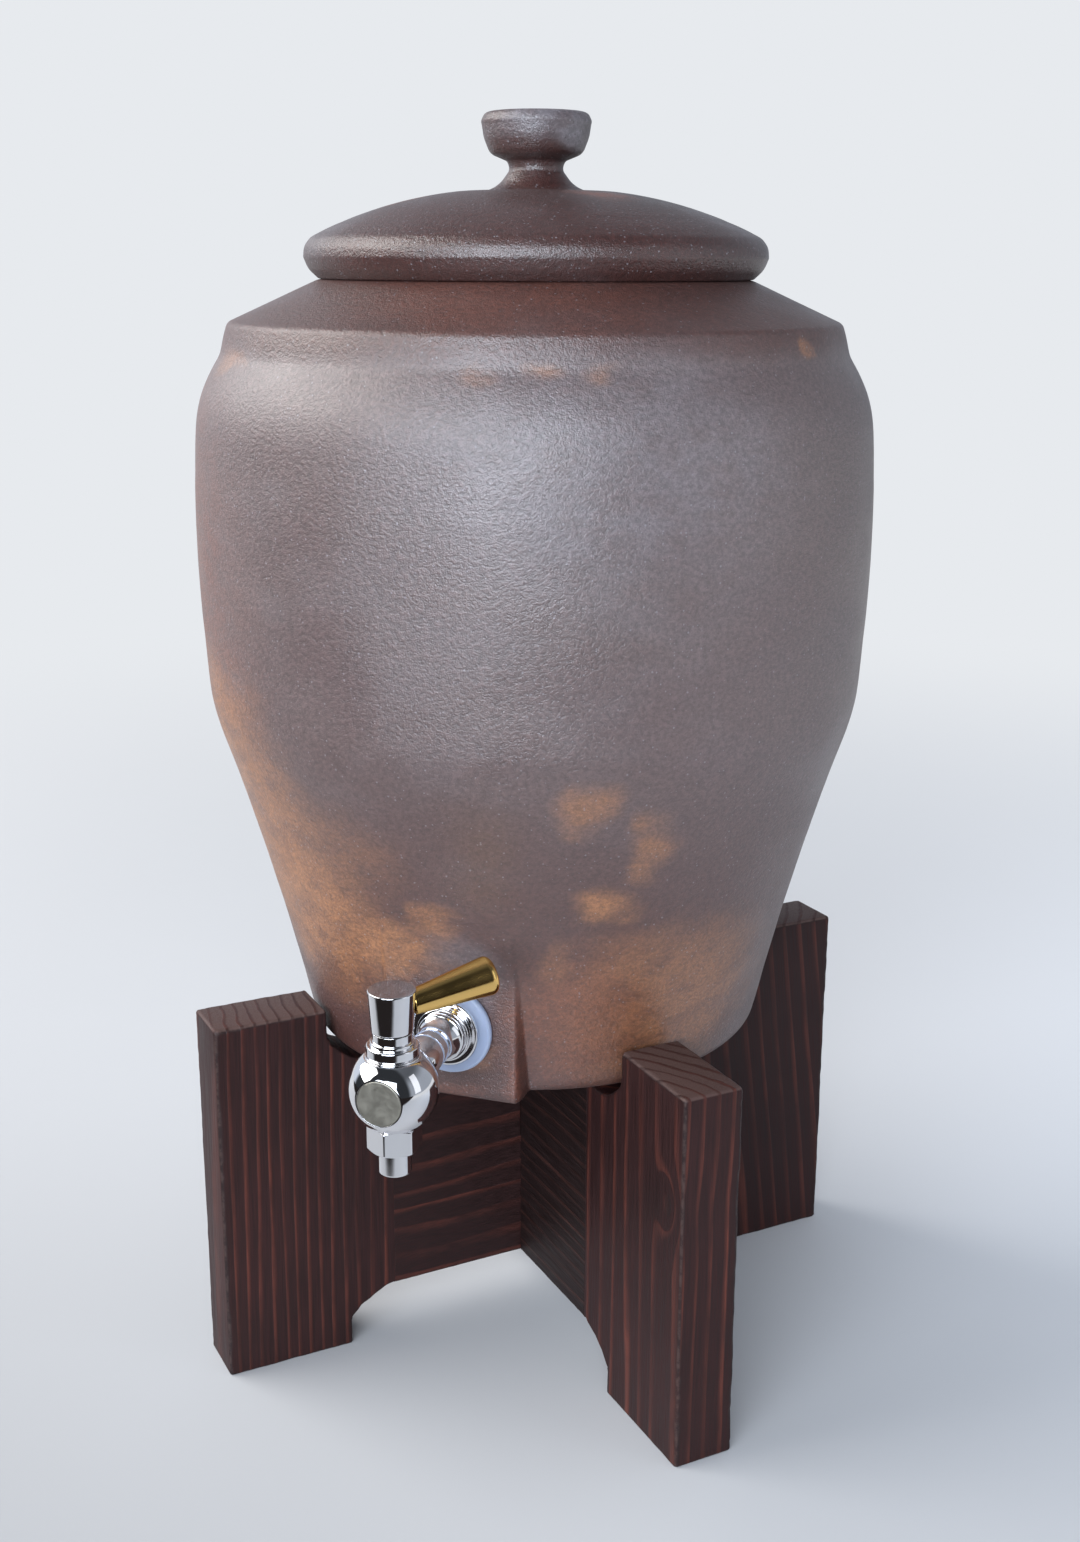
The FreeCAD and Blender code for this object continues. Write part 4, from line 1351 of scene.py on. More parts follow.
@dataclass
class Board:
    """One board of the stand: an outline through a thickness, with worn arrises.

    Attributes:
        piece: where it belongs.
        heading: its direction about Z, in degrees.
        corners: its outline, anticlockwise.
        seed: seed of its wear.
        thickness: its thickness.
        arris: usual rounding of its arrises.
    """

    piece: Piece
    heading: float
    corners: Sequence[Corner]
    seed: int
    thickness: float = 25.0
    arris: float = 1.6

    ROUND_STEPS = 5
    MARGIN = 0.8

    def patch(self) -> Patch:
        """Carries the outline through the thickness, turned in at both faces by the arrises.

        Returns:
            The closed surface; each row is one lap round the board.
        """
        rng = np.random.default_rng(self.seed)
        outline = Outline(self.corners, 1.1, closed=True)
        edge = outline.points()
        inward = outline.points(1.0) - edge
        count = len(edge)
        ripple = 0.6 * soft_noise(rng, count, 5, True) + 0.4 * soft_noise(rng, count, 2.5, True)
        edge = edge + inward * (outline.edge_values("rough") * ripple)[:, None]
        share = outline.edge_values("arris")
        rows, wear = [], []
        for side in (-1, 1):
            worn = 1 + 0.28 * soft_noise(rng, count, 14, True) + 0.2 * soft_noise(rng, count, 3, True)
            radius = self.arris * share * worn
            turns = np.linspace(0, math.pi / 2, self.ROUND_STEPS)
            insets = [radius + self.MARGIN] + [radius * (1 - math.sin(turn)) for turn in turns]
            depths = [0 * radius] + [radius * (1 - math.cos(turn)) for turn in turns]
            amounts = [0.0] + [math.sin(turn * 2) ** 0.5 for turn in turns]
            half = self.thickness / 2
            laps = [(inset, side * (half - depth)) for inset, depth in zip(insets, depths)]
            marks = [amount * np.minimum(share * 1.2, 1) for amount in amounts]
            if side > 0:
                laps.reverse()
                marks.reverse()
            rows += laps
            wear += marks
        inset = np.array([lap[0] for lap in rows])
        across = np.array([lap[1] for lap in rows])
        flat = edge[None] + inward[None] * inset[..., None]
        turn = math.radians(self.heading)
        x = flat[..., 0] * math.cos(turn) - across * math.sin(turn)
        y = flat[..., 0] * math.sin(turn) + across * math.cos(turn)
        return Patch(np.stack([x, y, flat[..., 1]], axis=-1), caps=True, wear=np.array(wear))

    def build(self, wood: Material) -> None:
        """Makes the board in its finish."""
        self.piece.place([self.patch()], wood)


@dataclass
class Stand:
    """The cross stand: two rails halved together, and a leg at each of their four ends.

    Attributes:
        joint: distance from the axis at which a rail meets its legs.
        foot_inner: distance of a foot's inner edge.
        foot_rise: height at which the cove above the foot starts.
        rail_bottom: height of the rails' lower edge.
        cradle_inner: distance of the upright that holds the pot.
        cradle_step: height at which the cradle's cove ends.
        cradle_low: height at which it starts.
        leg_headings: each leg's direction about Z by the node's name, in degrees.
        slot_half: half the width of the rails' slots.
    """

    joint: float = 71.5
    foot_inner: float = 91.3
    foot_rise: float = 11.0
    rail_bottom: float = 23.6
    cradle_inner: float = 98.5
    cradle_step: float = 141.5
    cradle_low: float = 130.0
    leg_headings: dict = field(default_factory=lambda: {
        "leg_front_left": 225.0, "leg_front_right": 315.0, "leg_rear_right": 45.0, "leg_rear_left": 135.0,
    })
    slot_half: float = 12.6

    def __post_init__(self) -> None:
        """Takes the reach and height of the legs and the top of the rails from the frame."""
        low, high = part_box("leg_front_right")
        corner = high.x / MM
        self.height = high.z / MM
        self.reach = corner * math.sqrt(2) - 12.5
        self.rail_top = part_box("rail_lower")[1].z / MM

    def leg_corners(self) -> list[Corner]:
        """Gives a leg's outline: a cove at the foot, and a cradle for the pot at the top."""
        return [
            Corner(self.foot_inner, 0, soft=0.8, arris=0.5),
            Corner(self.reach, 0, soft=1.2, arris=0.7),
            Corner(self.reach, self.height, soft=1.6),
            Corner(self.cradle_inner, self.height, soft=1.4),
            Corner(self.cradle_inner, self.cradle_step, soft=1.2, rough=0.3, arris=0.7),
            Corner(self.joint, self.cradle_low, soft=0.3, radius=21, rough=0.7, arris=0.6),
            Corner(self.joint, self.rail_bottom, soft=0.3, arris=0.08),
            Corner(self.foot_inner, self.foot_rise, soft=1.0, radius=30, rough=0.7, arris=0.6),
        ]

    def rail_corners(self, slot_above: bool) -> list[Corner]:
        """Gives a rail's outline with its slot from above or from below.

        Args:
            slot_above: whether the slot is open at the top.

        Returns:
            The corners, anticlockwise.
        """
        end, low, top, slot = self.joint, self.rail_bottom, self.rail_top, self.slot_half
        middle_height = (low + top) / 2
        tight = {"soft": 0.25, "arris": 0.15}
        bottom = [Corner(-end, low, soft=0.25, arris=0.08), Corner(end, low, soft=0.25, arris=0.6)]
        crown = [Corner(end, top, soft=0.25, arris=0.08), Corner(-end, top, soft=0.25, arris=0.6)]
        if slot_above:
            notch = [
                Corner(slot, top, soft=0.4, arris=0.6), Corner(slot, middle_height, **tight),
                Corner(-slot, middle_height, **tight), Corner(-slot, top, **tight),
            ]
            return bottom + [crown[0]] + notch + [crown[1]]
        notch = [
            Corner(-slot, low, soft=0.4, arris=0.6), Corner(-slot, middle_height, **tight),
            Corner(slot, middle_height, **tight), Corner(slot, low, **tight),
        ]
        return [bottom[0]] + notch + [bottom[1]] + crown

    def build(self, woods: dict[str, Material], dowel: Material) -> None:
        """Makes the boards and dresses the dowels.

        Args:
            woods: each board's finish by the node's name.
            dowel: finish of the dowels.
        """
        seed = 40
        for name, heading in self.leg_headings.items():
            piece = Piece(f"{name}_board", "stand", "stained_wood", name)
            seed += 1
            Board(piece, heading, self.leg_corners(), seed).build(woods[name])
        for name, heading, above in (("rail_lower", 45.0, True), ("rail_upper", 135.0, False)):
            piece = Piece(f"{name}_board", "stand", "stained_wood", name)
            seed += 1
            Board(piece, heading, self.rail_corners(above), seed, arris=1.2).build(woods[name])
        for name in ("dowels_lower_rail", "dowels_upper_rail"):
            dress_node(name, dowel)


def dress_node(name: str, material: Material) -> None:
    """Gives a node of the frame that stays in view its finish."""
    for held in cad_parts[name].material_slots:
        held.material = material


# The tap


@dataclass
class Tap:
    """The tap: shank and ball on an axis out of the panel, stem and handle on an upright one.

    Heights along the shank count outwards from the panel, and along the stem from the ball's
    middle.

    Attributes:
        ball: radius of the ball.
        front: distance from its middle to its flat front.
        top: height of the flat under the bonnet.
        bottom: depth of the flat above the nut.
        neck: radius at which the neck meets the ball.
        disc: radius of the disc let into the front.
        disc_depth: how deep the disc is let in.
        lever_heading: the lever's direction about Z, in degrees.
        lever_rise: its rise, in degrees.
        lever_height: height at which it meets the stem's axis.
        thread_pitch: pitch of the shank's screw.
        nut_flats: width of the outlet's nut across its flats.
    """

    ball: float = 16.0
    front: float = 13.4
    top: float = 12.3
    bottom: float = 12.9
    neck: float = 5.8
    disc: float = 8.3
    disc_depth: float = 1.2
    lever_heading: float = 43.0
    lever_rise: float = 10.5
    lever_height: float = 29.4
    thread_pitch: float = 1.35
    nut_flats: float = 17.2

    def __post_init__(self) -> None:
        """Takes the panel's plane and the ball's middle from the frame."""
        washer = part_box("outer_washer")
        self.panel = washer[1].y / MM
        self.height = middle("outer_washer")[2]
        self.reach = self.panel - middle("nozzle")[1]
        self.out_axis = Axis((0.0, self.panel, self.height), along=(0.0, -1.0, 0.0))
        self.stem_axis = Axis((0.0, self.panel - self.reach, self.height))

    def lever_axis(self) -> Axis:
        """Gives the lever's line, which rises from the stem's axis.

        Returns:
            The axis.
        """
        yaw, rise = math.radians(self.lever_heading), math.radians(self.lever_rise)
        along = (math.cos(rise) * math.cos(yaw), math.cos(rise) * math.sin(yaw), math.sin(rise))
        side = (-math.sin(yaw), math.cos(yaw), 0.0)
        place = (0.0, self.panel - self.reach, self.height + self.lever_height)
        return Axis(place, along, side)

    def build(self, chrome: Material, gold: Material, satin: Material,
              silicone: Material, rubber: Material) -> None:
        """Makes the tap's visible pieces and dresses the rest.

        Args:
            chrome: finish of the plated pieces.
            gold: finish of the lever.
            satin: finish of the front disc, the plug and the nut.
            silicone: finish of the washers and the outlet's seal.
            rubber: finish of the O-rings.
        """
        made = [
            ("tap_shank", "pot", "chrome", "shank", self.shank(), chrome),
            ("tap_washer", "pot", "silicone", "outer_washer", self.washer(), silicone),
            ("tap_ball", "pot", "chrome", "tap_body", self.ball_and_boss(), chrome),
            ("tap_front_disc", "pot", "satin_steel", "front_disc", self.front_plate(), satin),
            ("tap_bonnet", "pot", "chrome", "bonnet", self.bonnet(), chrome),
            ("tap_outlet_nut", "pot", "chrome", "outlet_nut", self.outlet_nut(), chrome),
            ("tap_nozzle", "pot", "chrome", "nozzle", self.nozzle(), chrome),
            ("tap_cap", "handle", "chrome", "handle_cap", self.cap(), chrome),
            ("tap_lever", "handle", "gold", "lever", self.lever(), gold),
        ]
        for name, body, slot, node, patches, material in made:
            Piece(name, body, slot, node).place(patches, material)
        kept = {
            "valve_plug": satin, "back_nut": satin, "o_rings": rubber,
            "inner_washer": silicone, "outlet_seal": silicone,
        }
        for name, material in kept.items():
            dress_node(name, material)

    def shank(self) -> list[Patch]:
        """Gives the flange, its steps and waist, and the screw behind them."""
        corners = chain(
            (4.6, -27.0, 0.4), (6.9, -27.0, 0.3), (7.9, -26.0, 0.3), (7.9, 3.2, 0.2),
            (13.0, 3.2, 0.5), (13.0, 5.8, 0.8), (10.4, 5.8, 0.15), (10.4, 8.1, 0.6),
            (8.4, 8.1, 0.15), (8.4, 10.5, 0.15, -1.25), (6.5, 17.6, 0.5, 9.5), (6.5, 20.0, 0.15),
            (7.2, 20.0, 0.3), (7.2, 24.0, 0.3), (4.6, 24.0, 0.15), (4.6, 32.0, 0.3),
            (3.1, 32.0, 0.3), (3.1, 5.8, 0.3), (4.6, 3.2, 0.3),
        )
        return [turned(self.out_axis, corners, columns=128, step=0.22, change=self.thread)]

    def thread(self, out: Array, up: Array, angle: Array) -> Array:
        """Cuts the screw into the shank: a triangle wave that climbs one pitch in each turn.

        Args:
            out: distance from the axis.
            up: height.
            angle: angle about the axis.

        Returns:
            The new distance.
        """
        wave = np.abs(((up / self.thread_pitch - angle / (2 * math.pi)) % 1) * 2 - 1)
        zone = (out > 7.6) & (out < 8.0) & (up < -1.0)
        return np.where(zone, out - 0.75 * wave, out)

    def washer(self) -> list[Patch]:
        """Gives the soft washer, squeezed a little between the flange and the clay."""
        corners = chain(
            (8.0, 0.0, 0.4), (17.2, 0.0, 1.3), (17.2, 3.2, 1.3), (13.1, 3.15, 0.5), (8.0, 3.2, 0.4),
        )
        return [turned(self.out_axis, corners, columns=160, step=0.5)]

    def ball_and_boss(self) -> list[Patch]:
        """Gives the neck, the ball with its flat front and recess, and the boss below it.

        The ball's points are held between its two level flats.

        Returns:
            The two surfaces.
        """
        back = self.reach - math.sqrt(self.ball**2 - self.neck**2)
        face = self.reach + self.front
        flat = math.sqrt(self.ball**2 - self.front**2)
        corners = chain(
            (0, 24.0), (7.2, 24.0, 0.3), (self.neck, back, 0.7, -40), (flat, face, 0.5, -self.ball),
            (self.disc + 0.05, face, 0.08), (self.disc + 0.05, face - self.disc_depth),
            (0, face - self.disc_depth),
        )
        shell = turned(self.out_axis, self._ball_outline(corners), columns=160)
        heights = shell.grid[..., 2]
        shell.grid[..., 2] = np.clip(heights, self.height - self.bottom, self.height + self.top)
        boss = [Corner(0, -9.0), Corner(7.0, -9.0), Corner(7.0, -17.4, soft=0.4), Corner(0, -17.4)]
        return [shell, turned(self.stem_axis, boss, columns=96)]

    def _ball_outline(self, corners: list[Corner]) -> Outline:
        """Splits the ball's arc at its widest place, because an arc here is under a half turn."""
        widest = Corner(self.ball, self.reach, radius=-self.ball)
        return Outline(corners[:3] + [widest] + corners[3:], 0.5)

    def front_plate(self) -> list[Patch]:
        """Gives the bare disc in the ball's front, with a softened rim.

        Returns:
            The surface.
        """
        face = self.reach + self.front
        corners = chain(
            (0, face - self.disc_depth), (self.disc - 0.06, face - self.disc_depth, 0.1),
            (self.disc - 0.06, face + 0.05, 0.3), (0, face + 0.05),
        )
        return [turned(self.out_axis, corners, columns=128, step=0.5)]

    def bonnet(self) -> list[Patch]:
        """Gives the screwed collar: a foot, a tall ring, a step and a neck under the cap."""
        corners = chain(
            (4.05, 7.05, 0.2), (7.5, 7.05, 0.2), (7.5, self.top, 0.1), (9.6, self.top, 0.12),
            (9.6, 13.1, 0.12, -0.45), (8.8, 13.1, 0.08), (8.8, 13.5, 0.08), (9.3, 13.5, 0.2),
            (9.3, 16.9, 0.6), (7.9, 16.9, 0.12), (7.9, 18.4, 0.35), (7.1, 18.4, 0.12),
            (7.1, 21.6, 0.2), (4.05, 21.6, 0.2),
        )
        return [turned(self.stem_axis, corners, columns=128, step=0.3)]

    def cap(self) -> list[Patch]:
        """Gives the slightly flared cap that turns on the stem."""
        corners = chain(
            (0, 34.0), (4.0, 34.0, 0.2), (4.0, 22.0, 0.2), (7.45, 22.0, 0.35), (8.5, 37.0, 0.5),
            (0, 37.0),
        )
        return [turned(self.stem_axis, Outline(corners, 0.5), columns=128)]

    def lever(self) -> list[Patch]:
        """Gives the tapered lever with its rounded end."""
        corners = chain(
            (0, 1.0), (2.5, 1.0, 0.3), (2.5, 7.6, 0.1), (4.4, 7.6, 0.3), (7.3, 38.6, 2.9),
            (0, 38.6),
        )
        return [turned(self.lever_axis(), corners, columns=96, step=0.5)]

    def outlet_nut(self) -> list[Patch]:
        """Gives the hexagon below the ball.

        Its distance from the axis is the least of the flats' and of a cone's at each end, as
        where a lathe has turned down a nut's corners.

        Returns:
            The surface.
        """
        low, high, chamfer, slope = -22.5, -self.bottom, 1.3, math.sqrt(3)
        half_flat = self.nut_flats / 2
        corner = half_flat / math.cos(math.pi / 6)
        heights = np.concatenate([
            np.linspace(low, low + 1.2, 9),
            np.linspace(low + 1.6, high - 1.6, 5),
            np.linspace(high - 1.2, high, 9),
        ])
        angles = np.arange(240) * (2 * math.pi / 240)
        folded = (angles + math.pi / 6) % (math.pi / 3) - math.pi / 6
        flats = smooth_least(half_flat / np.cos(folded), np.full(len(angles), corner - 0.12), 0.16)
        from_end = np.minimum(heights - low, high - heights)
        cone = corner - chamfer + from_end * slope
        side = smooth_least(*np.broadcast_arrays(flats[None], cone[:, None]), 0.12)
        rings = [np.full((1, len(angles)), 6.3), side, np.full((1, len(angles)), 7.0)]
        levels = np.concatenate([[low], heights, [high]])
        up = np.repeat(levels[:, None], len(angles), 1)
        return [Patch(self.stem_axis.grid(np.vstack(rings), up, angles), loop=True)]

    def nozzle(self) -> list[Patch]:
        """Gives the short outlet tube with its flange hidden in the nut."""
        corners = chain(
            (4.2, -31.6, 0.4), (5.9, -31.6, 0.5), (5.9, -22.5, 0.1), (6.3, -22.5, 0.1),
            (6.3, -20.6, 0.15), (6.85, -20.6, 0.15), (6.85, -18.6, 0.15), (4.2, -18.6, 0.3),
        )
        return [turned(self.stem_axis, corners, columns=128, step=0.4)]


# Floor, light and camera


@dataclass(frozen=True)
class Lamp:
    """A soft lamp that faces a point.

    Attributes:
        name: the lamp's name.
        place: where it stands, in metres.
        aim: what it faces.
        size: its width and height.
        power: its power in watts.
        tint: its colour.
    """

    name: str
    place: Triple
    aim: Triple
    size: tuple[float, float]
    power: float
    tint: Triple

    def build(self) -> None:
        """Adds the lamp to the scene."""
        data = bpy.data.lights.new(self.name, "AREA")
        data.shape = "RECTANGLE"
        data.size, data.size_y = self.size
        data.energy = self.power
        data.color = self.tint
        lamp = put(self.name, data)
        lamp.location = self.place
        lamp.rotation_euler = (Vector(self.aim) - Vector(self.place)).to_track_quat("-Z", "Y").to_euler()


@dataclass
class Studio:
    """A plain pale floor that fades into the background, soft light and the camera.

    Attributes:
        background: the colour seen behind the object.
        floor_left: the floor's colour to the camera's left, painted darker where the left lamp gives more
            light.
        floor_right: its colour to the right, painted paler where less light falls.
        dark_room: the dark that shiny pieces mirror in front of the floor's edge.
        room_light: the colour of the world's light.
        floor_half: half the floor's width, in metres.
        fade_start: distance from the axis at which the floor starts to fade, in metres.
        fade_end: distance at which it has the background's colour.
        fill: strength of the world's even light on matt surfaces.
        window: strength of the bright window in front, which only reflections see.
        lamps: the lamps.
        camera_place: where the camera stands, in metres.
        camera_heading: its direction to the right of +Y, in degrees.
        camera_pitch: how far it looks down, in degrees.
        camera_roll: how far it leans, in degrees.
        lens: focal length in millimetres.
    """

    background: Colour = shade(231, 234, 238)
    floor_left: Colour = shade(212, 212, 213)
    floor_right: Colour = shade(240, 242, 246)
    dark_room: Colour = shade(40, 36, 36)
    room_light: Colour = shade(232, 241, 255)
    floor_half: float = 4.0
    fade_start: float = 0.45
    fade_end: float = 1.5
    fill: float = 0.42
    window: float = 9.5
    lamps: tuple[Lamp, ...] = (
        Lamp("front", (0.03, -1.45, 0.74), (0.0, 0.0, 0.32), (1.4, 0.9), 13.0, (0.87, 0.94, 1.0)),
        Lamp("left", (-2.38, -0.46, 1.9), (0.0, 0.0, 0.2), (3.0, 2.0), 86.0, (1.0, 0.985, 0.96)),
        Lamp("right", (1.5, -0.25, 0.75), (0.0, 0.0, 0.25), (0.5, 1.2), 1.5, (0.95, 0.97, 1.0)),
    )
    camera_place: Triple = (0.2274, -0.6875, 0.4415)
    camera_heading: float = -18.12
    camera_pitch: float = 15.8
    camera_roll: float = 0.2
    lens: float = 42.345

    FLOOR_STEPS = 9

    def build(self) -> None:
        """Makes the floor, the world, the lamps and the camera."""
        half = self.floor_half / MM
        side = np.linspace(-half, half, self.FLOOR_STEPS)
        flat = np.zeros((self.FLOOR_STEPS, self.FLOOR_STEPS))
        grid = np.stack([*np.meshgrid(side, side, indexing="ij"), flat], axis=-1)
        mesh = make_mesh("floor", [Patch(grid, ring=False)])
        mesh.materials.append(self.paper())
        put("floor", mesh)
        self.world()
        for lamp in self.lamps:
            lamp.build()
        self.camera()

    def paper(self) -> Material:
        """Wires the floor's finish with painted light and shade; it fades to the background's colour away
        from the object.

        Beyond the fade, the camera and reflections see the background's colour and other rays
        pass. Reflections see a dark room in front.

        Returns:
            The material.
        """
        material, net = new_material("floor_paper")
        place = net.place()
        parts = net.split(place)
        # Painted light and shade: the colour goes paler to the right, where less lamp light falls, and darker
        # towards the front.
        colour = net.blend(net.spread(parts[0], -0.5, 0.6), self.floor_left, self.floor_right)
        colour = net.scaled(colour, net.spread(parts[1], -0.5, 0.2, 0.55, 1.0))
        colour = net.scaled(colour, uneven(net, place, 6.0, 0.02))
        matt = net.shader({"Base Color": colour, "Roughness": 0.9, "Specular IOR Level": 0.2})
        glow = net.first("Emission", {"Color": self.background, "Strength": 1.0})
        rays = net.node("LightPath").outputs
        seen = net.math("MAXIMUM", rays["Is Camera Ray"], rays["Is Glossy Ray"])
        seen = net.math("MAXIMUM", seen, rays["Is Transmission Ray"])
        beyond = net.mix(seen, net.first("BsdfTransparent"), glow)
        distance = net.vector("LENGTH", net.scaled(place, (1.0, 1.0, 0.0)))
        paper = net.mix(net.spread(distance, self.fade_start, self.fade_end), matt, beyond)
        front = self.toward_room(net, parts, -0.44, -0.36)
        room = net.first("Emission", {"Color": self.dark_room, "Strength": 1.0})
        net.end(net.mix(net.times(front, rays["Is Glossy Ray"]), paper, room))
        return material

    @staticmethod
    def toward_room(net: Wiring, parts: Sequence[Socket], far: float, near: float) -> Socket:
        """Gives 1 in the dark room in front and 0 at the walls, by a line that leans to the right."""
        return net.spread(net.plus(parts[1], net.times(parts[0], 0.25)), far, near, 1.0, 0.0)

    def world(self) -> None:
        """Lights the world: pale walls, a dark room in front and a bright window in it.

        The camera sees the plain background instead, and matt surfaces get an even light.
        """
        world = bpy.data.worlds.new("studio")
        world.use_nodes = True
        world.node_tree.nodes.clear()
        bpy.context.scene.world = world
        net = Wiring(world.node_tree)
        parts = net.split(net.node("TexCoord").outputs["Generated"])
        dark = self.toward_room(net, parts, -0.3, -0.1)
        across = net.spread(parts[0], -0.6, 0.9, 0.85, 0.42)
        overhead = net.spread(parts[2], 0.35, 0.75, 1.0, 0.2)
        wall = net.times(across, overhead, net.math("SUBTRACT", 1.0, dark))
        side = net.math("ABSOLUTE", net.math("SUBTRACT", parts[0], 0.03))
        sill, head = net.spread(parts[2], -0.05, 0.12), net.spread(parts[2], 0.3, 0.52, self.window, 0.0)
        window = net.times(net.spread(side, 0.22, 0.48, 1.0, 0.0), dark, sill, head)
        mirrored = net.plus(wall, 0.04, window)
        rays = net.node("LightPath").outputs
        lift = net.times(net.math("SUBTRACT", self.fill, mirrored), rays["Is Diffuse Ray"])
        room = net.first("Background", {"Color": self.room_light, "Strength": net.plus(mirrored, lift)})
        plain = net.first("Background", {"Color": self.background, "Strength": 1.0})
        net.end(net.mix(rays["Is Camera Ray"], room, plain), "World")

    def camera(self) -> None:
        """Places the camera as the photograph's, by heading, pitch and roll."""
        data = bpy.data.cameras.new("camera")
        data.lens = self.lens
        data.sensor_width = 36.0
        data.clip_start = 0.01
        turn, pitch, roll = (
            math.radians(angle) for angle in (self.camera_heading, self.camera_pitch, self.camera_roll)
        )
        level = math.cos(pitch)
        forward = Vector((math.sin(turn) * level, math.cos(turn) * level, -math.sin(pitch)))
        right = Vector((math.cos(turn), -math.sin(turn), 0.0))
        down = forward.cross(right)
        across = right * math.cos(roll) - down * math.sin(roll)
        upward = -(right * math.sin(roll) + down * math.cos(roll))
        rows = [(*row, place) for row, place in zip(zip(across, upward, -forward), self.camera_place)]
        camera = put("camera", data)
        camera.matrix_world = Matrix((*rows, (0.0, 0.0, 0.0, 1.0)))
        bpy.context.scene.camera = camera


# The whole object


def pot_clay() -> Stoneware:
    """Gives the pot's finish with the flame marks where the photograph has them, and a patch of painted
    sheen.
    """
    marks = (
        Mark(Kiln.RUST, -160, 305, 130, 105, 150, 0.7, 0.3),
        # Painted sheen: this pale patch on the upper belly stands for its broad grey highlight.
        Mark(Kiln.ASH_AND_SHEEN, -60, 375, 131, 100, 60, 0.4, 0.2),
        Mark(Kiln.TAN, -140, 242, 120, 64, 72, 0.85, 0.35),
        Mark(Kiln.TAN, -124, 196, 110, 50, 44, 0.9, 0.3),
        Mark(Kiln.TAN, -103, 196, 108, 30, 16, 0.95, 0.35),
        Mark(Kiln.TAN, -91, 208, 108, 14, 10, 0.8, 0.3),
        Mark(Kiln.TAN, -63, 258, 122, 18, 13, 0.75, 0.2),
        Mark(Kiln.TAN, -51, 238, 120, 13, 24, 0.7, 0.2),
        Mark(Kiln.TAN, -58, 216, 114, 18, 12, 0.9, 0.2),
        Mark(Kiln.TAN, -67, 190, 106, 8, 18, 0.5, 0.2),
        Mark(Kiln.TAN, -42, 170, 102, 70, 46, 0.65, 0.35),
        Mark(Kiln.RUST, -66, 165, 102, 40, 44, 0.55, 0.2),
        Mark(Kiln.TAN, -112, 228, 116, 44, 34, 0.4, 0.1),
        Mark(Kiln.ASH_AND_SHEEN, -87, 182, 108, 22, 28, 0.6, 0.3),
        Mark(Kiln.RUST, -75, 156, 104, 7, 34, 0.95, 0.3),
        Mark(Kiln.RUST, -91, 137, 100, 30, 5, 0.6, 0.3),
        Mark(Kiln.TAN, -82, 152, 101, 7, 9, 0.5, 0.2),
        Mark(Kiln.TAN, -80, 406, 122, 9, 6, 0.45, 0.1),
        Mark(Kiln.TAN, -70, 407, 121, 11, 6, 0.5, 0.1),
        Mark(Kiln.TAN, -61, 408, 120, 9, 6, 0.4, 0.1),
        Mark(Kiln.TAN, -137, 405, 121, 22, 7, 0.45, 0.2),
        Mark(Kiln.TAN, -19, 409, 121, 8, 4, 0.7, 0.3),
        Mark(Kiln.RUST, -80, 428, 96, 70, 16, 0.3, 0.3),
        Mark(Kiln.TAN, 60, 200, 110, 60, 46, 0.6, 0.2),
        Mark(Kiln.RUST, 120, 320, 130, 55, 60, 0.4, 0.2),
    )
    return Stoneware(
        name="pot_stoneware",
        clay=shade(100, 83, 81),
        dark=shade(92, 72, 71),
        rust=shade(118, 66, 48),
        tan=shade(156, 104, 66),
        ash_and_sheen=shade(132, 128, 134),
        deep_brown=shade(74, 37, 28),
        marks=marks,
        deep_brown_low=0.85,
        deep_brown_top=0.85,
    )


def lid_clay(base: Stoneware) -> Stoneware:
    """Gives the lid's finish: the pot's, redder and darker.

    Args:
        base: the pot's finish.

    Returns:
        The finish.
    """
    marks = (
        Mark(Kiln.RUST, -39, 462, 40, 18, 8, 0.55, 0.2),
        Mark(Kiln.RUST, -144, 460, 47, 16, 8, 0.5, 0.2),
        # Painted sheen: this pale patch on the knob stands for its grey-blue highlight.
        Mark(Kiln.ASH_AND_SHEEN, -60, 488, 14, 26, 12, 0.7, 0.4),
        Mark(Kiln.ASH_AND_SHEEN, 5, 452, 80, 40, 14, 0.35, 0.2),
        Mark(Kiln.ASH_AND_SHEEN, -150, 452, 80, 40, 14, 0.35, 0.2),
    )
    return replace(
        base,
        name="lid_stoneware",
        clay=shade(66, 32, 27),
        dark=shade(54, 28, 25),
        rust=shade(142, 78, 54),
        marks=marks,
        deep_brown_low=0.0,
        deep_brown_top=0.0,
        speck_share=0.3,
    )


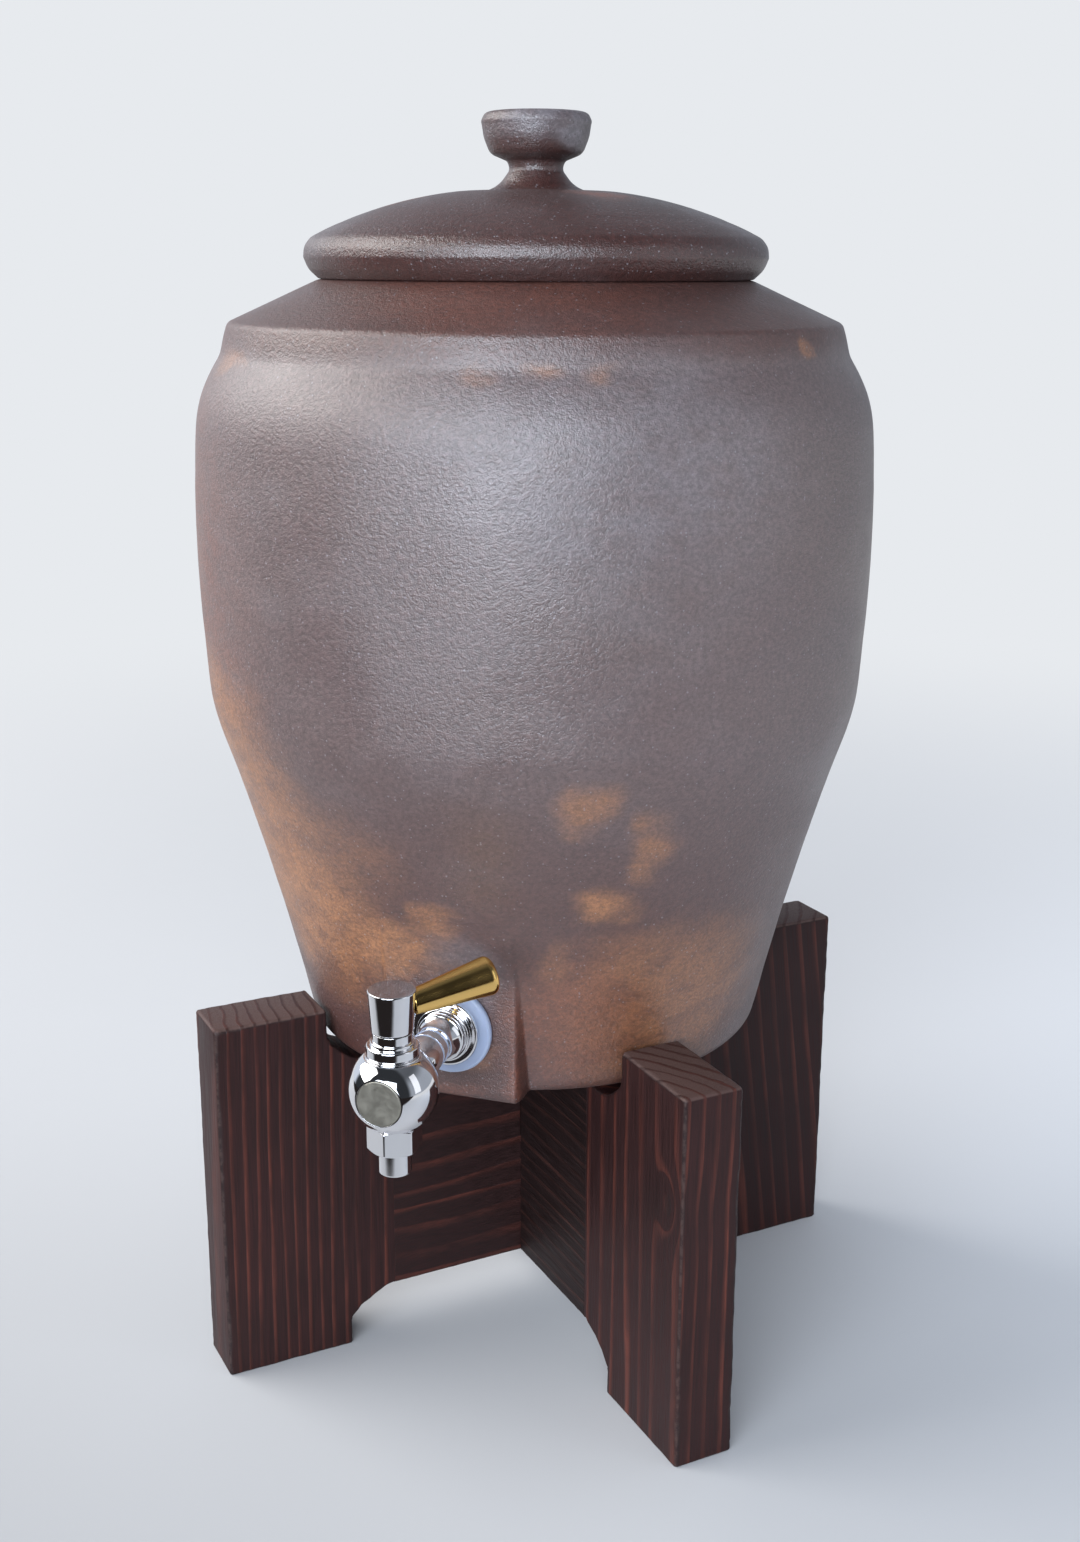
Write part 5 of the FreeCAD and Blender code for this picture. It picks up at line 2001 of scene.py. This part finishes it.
def board_woods() -> dict[str, Material]:
    """Builds one wood for each board, so that no two have the same figure.

    Returns:
        Each board's finish by the node's name.
    """
    finishes = {
        "leg_front_left": StainedWood("wood_front_left", 225, False, (-0.16, 0.03, 0.0), (0.6, 0.4), 0.0052),
        "leg_front_right": StainedWood(
            "wood_front_right", 315, False, (0.17, -0.09, 0.0), (0.4, -0.6), 0.0064, 0.014,
            knot=(0.134, -0.0125, 0.108), knot_reach=0.007,
        ),
        "leg_rear_right": StainedWood("wood_rear_right", 45, False, (0.02, 0.08, 0.0), (0.0, 7.0), 0.0066),
        "leg_rear_left": StainedWood("wood_rear_left", 135, False, (-0.05, 0.1, 0.0), (1.0, -2.0), 0.0058),
        "rail_lower": StainedWood(
            "wood_lower_rail", 45, True, (0.05, 0.018, 0.0), (7.0, 4.0), 0.0105, 0.036,
            knot=(0.105, 0.0, -0.045), knot_reach=0.016,
        ),
        "rail_upper": StainedWood("wood_upper_rail", 135, True, (0.09, -0.03, 0.0), (-2.0, 1.0), 0.006, 0.02),
    }
    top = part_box("leg_front_left")[1].z
    # Painted shade: the upper rail's stain and late wood are darker because that rail lies in shadow.
    finishes["rail_upper"] = replace(finishes["rail_upper"], stain=shade(26, 12, 11), pale=shade(58, 31, 25))
    finishes["rail_lower"] = replace(finishes["rail_lower"], stain=shade(36, 16, 15))
    return {
        name: (replace(finish, top=top) if name.startswith("leg") else finish).build()
        for name, finish in finishes.items()
    }


def main() -> None:
    """Builds the studio, the stand, the pot and the tap."""
    logging.basicConfig(level=logging.INFO, format="%(name)s: %(message)s")
    bpy.context.scene.view_settings.view_transform = "Standard"
    clay = pot_clay()
    Studio().build()
    Stand().build(board_woods(), moulded("dowel_beech", shade(190, 160, 122), 0.6).build())
    Pot().build(clay.build(), lid_clay(clay).build())
    satin = metal("satin_steel", shade(176, 172, 160), WHITE, (0.36, 0.5), 240.0, 0.00005)
    Tap().build(
        chrome=metal("tap_chrome", (0.80, 0.80, 0.82, 1.0), WHITE, (0.035, 0.1)).build(),
        gold=metal("lever_gold", (0.86, 0.56, 0.19, 1.0), (1.0, 0.9, 0.6, 1.0), (0.1, 0.2)).build(),
        satin=satin.build(),
        silicone=moulded("milky_silicone", shade(165, 178, 204), 0.35, 0.6, 0.004).build(),
        rubber=moulded("black_rubber", shade(34, 34, 36), 0.55).build(),
    )


if __name__ == "__main__":
    main()
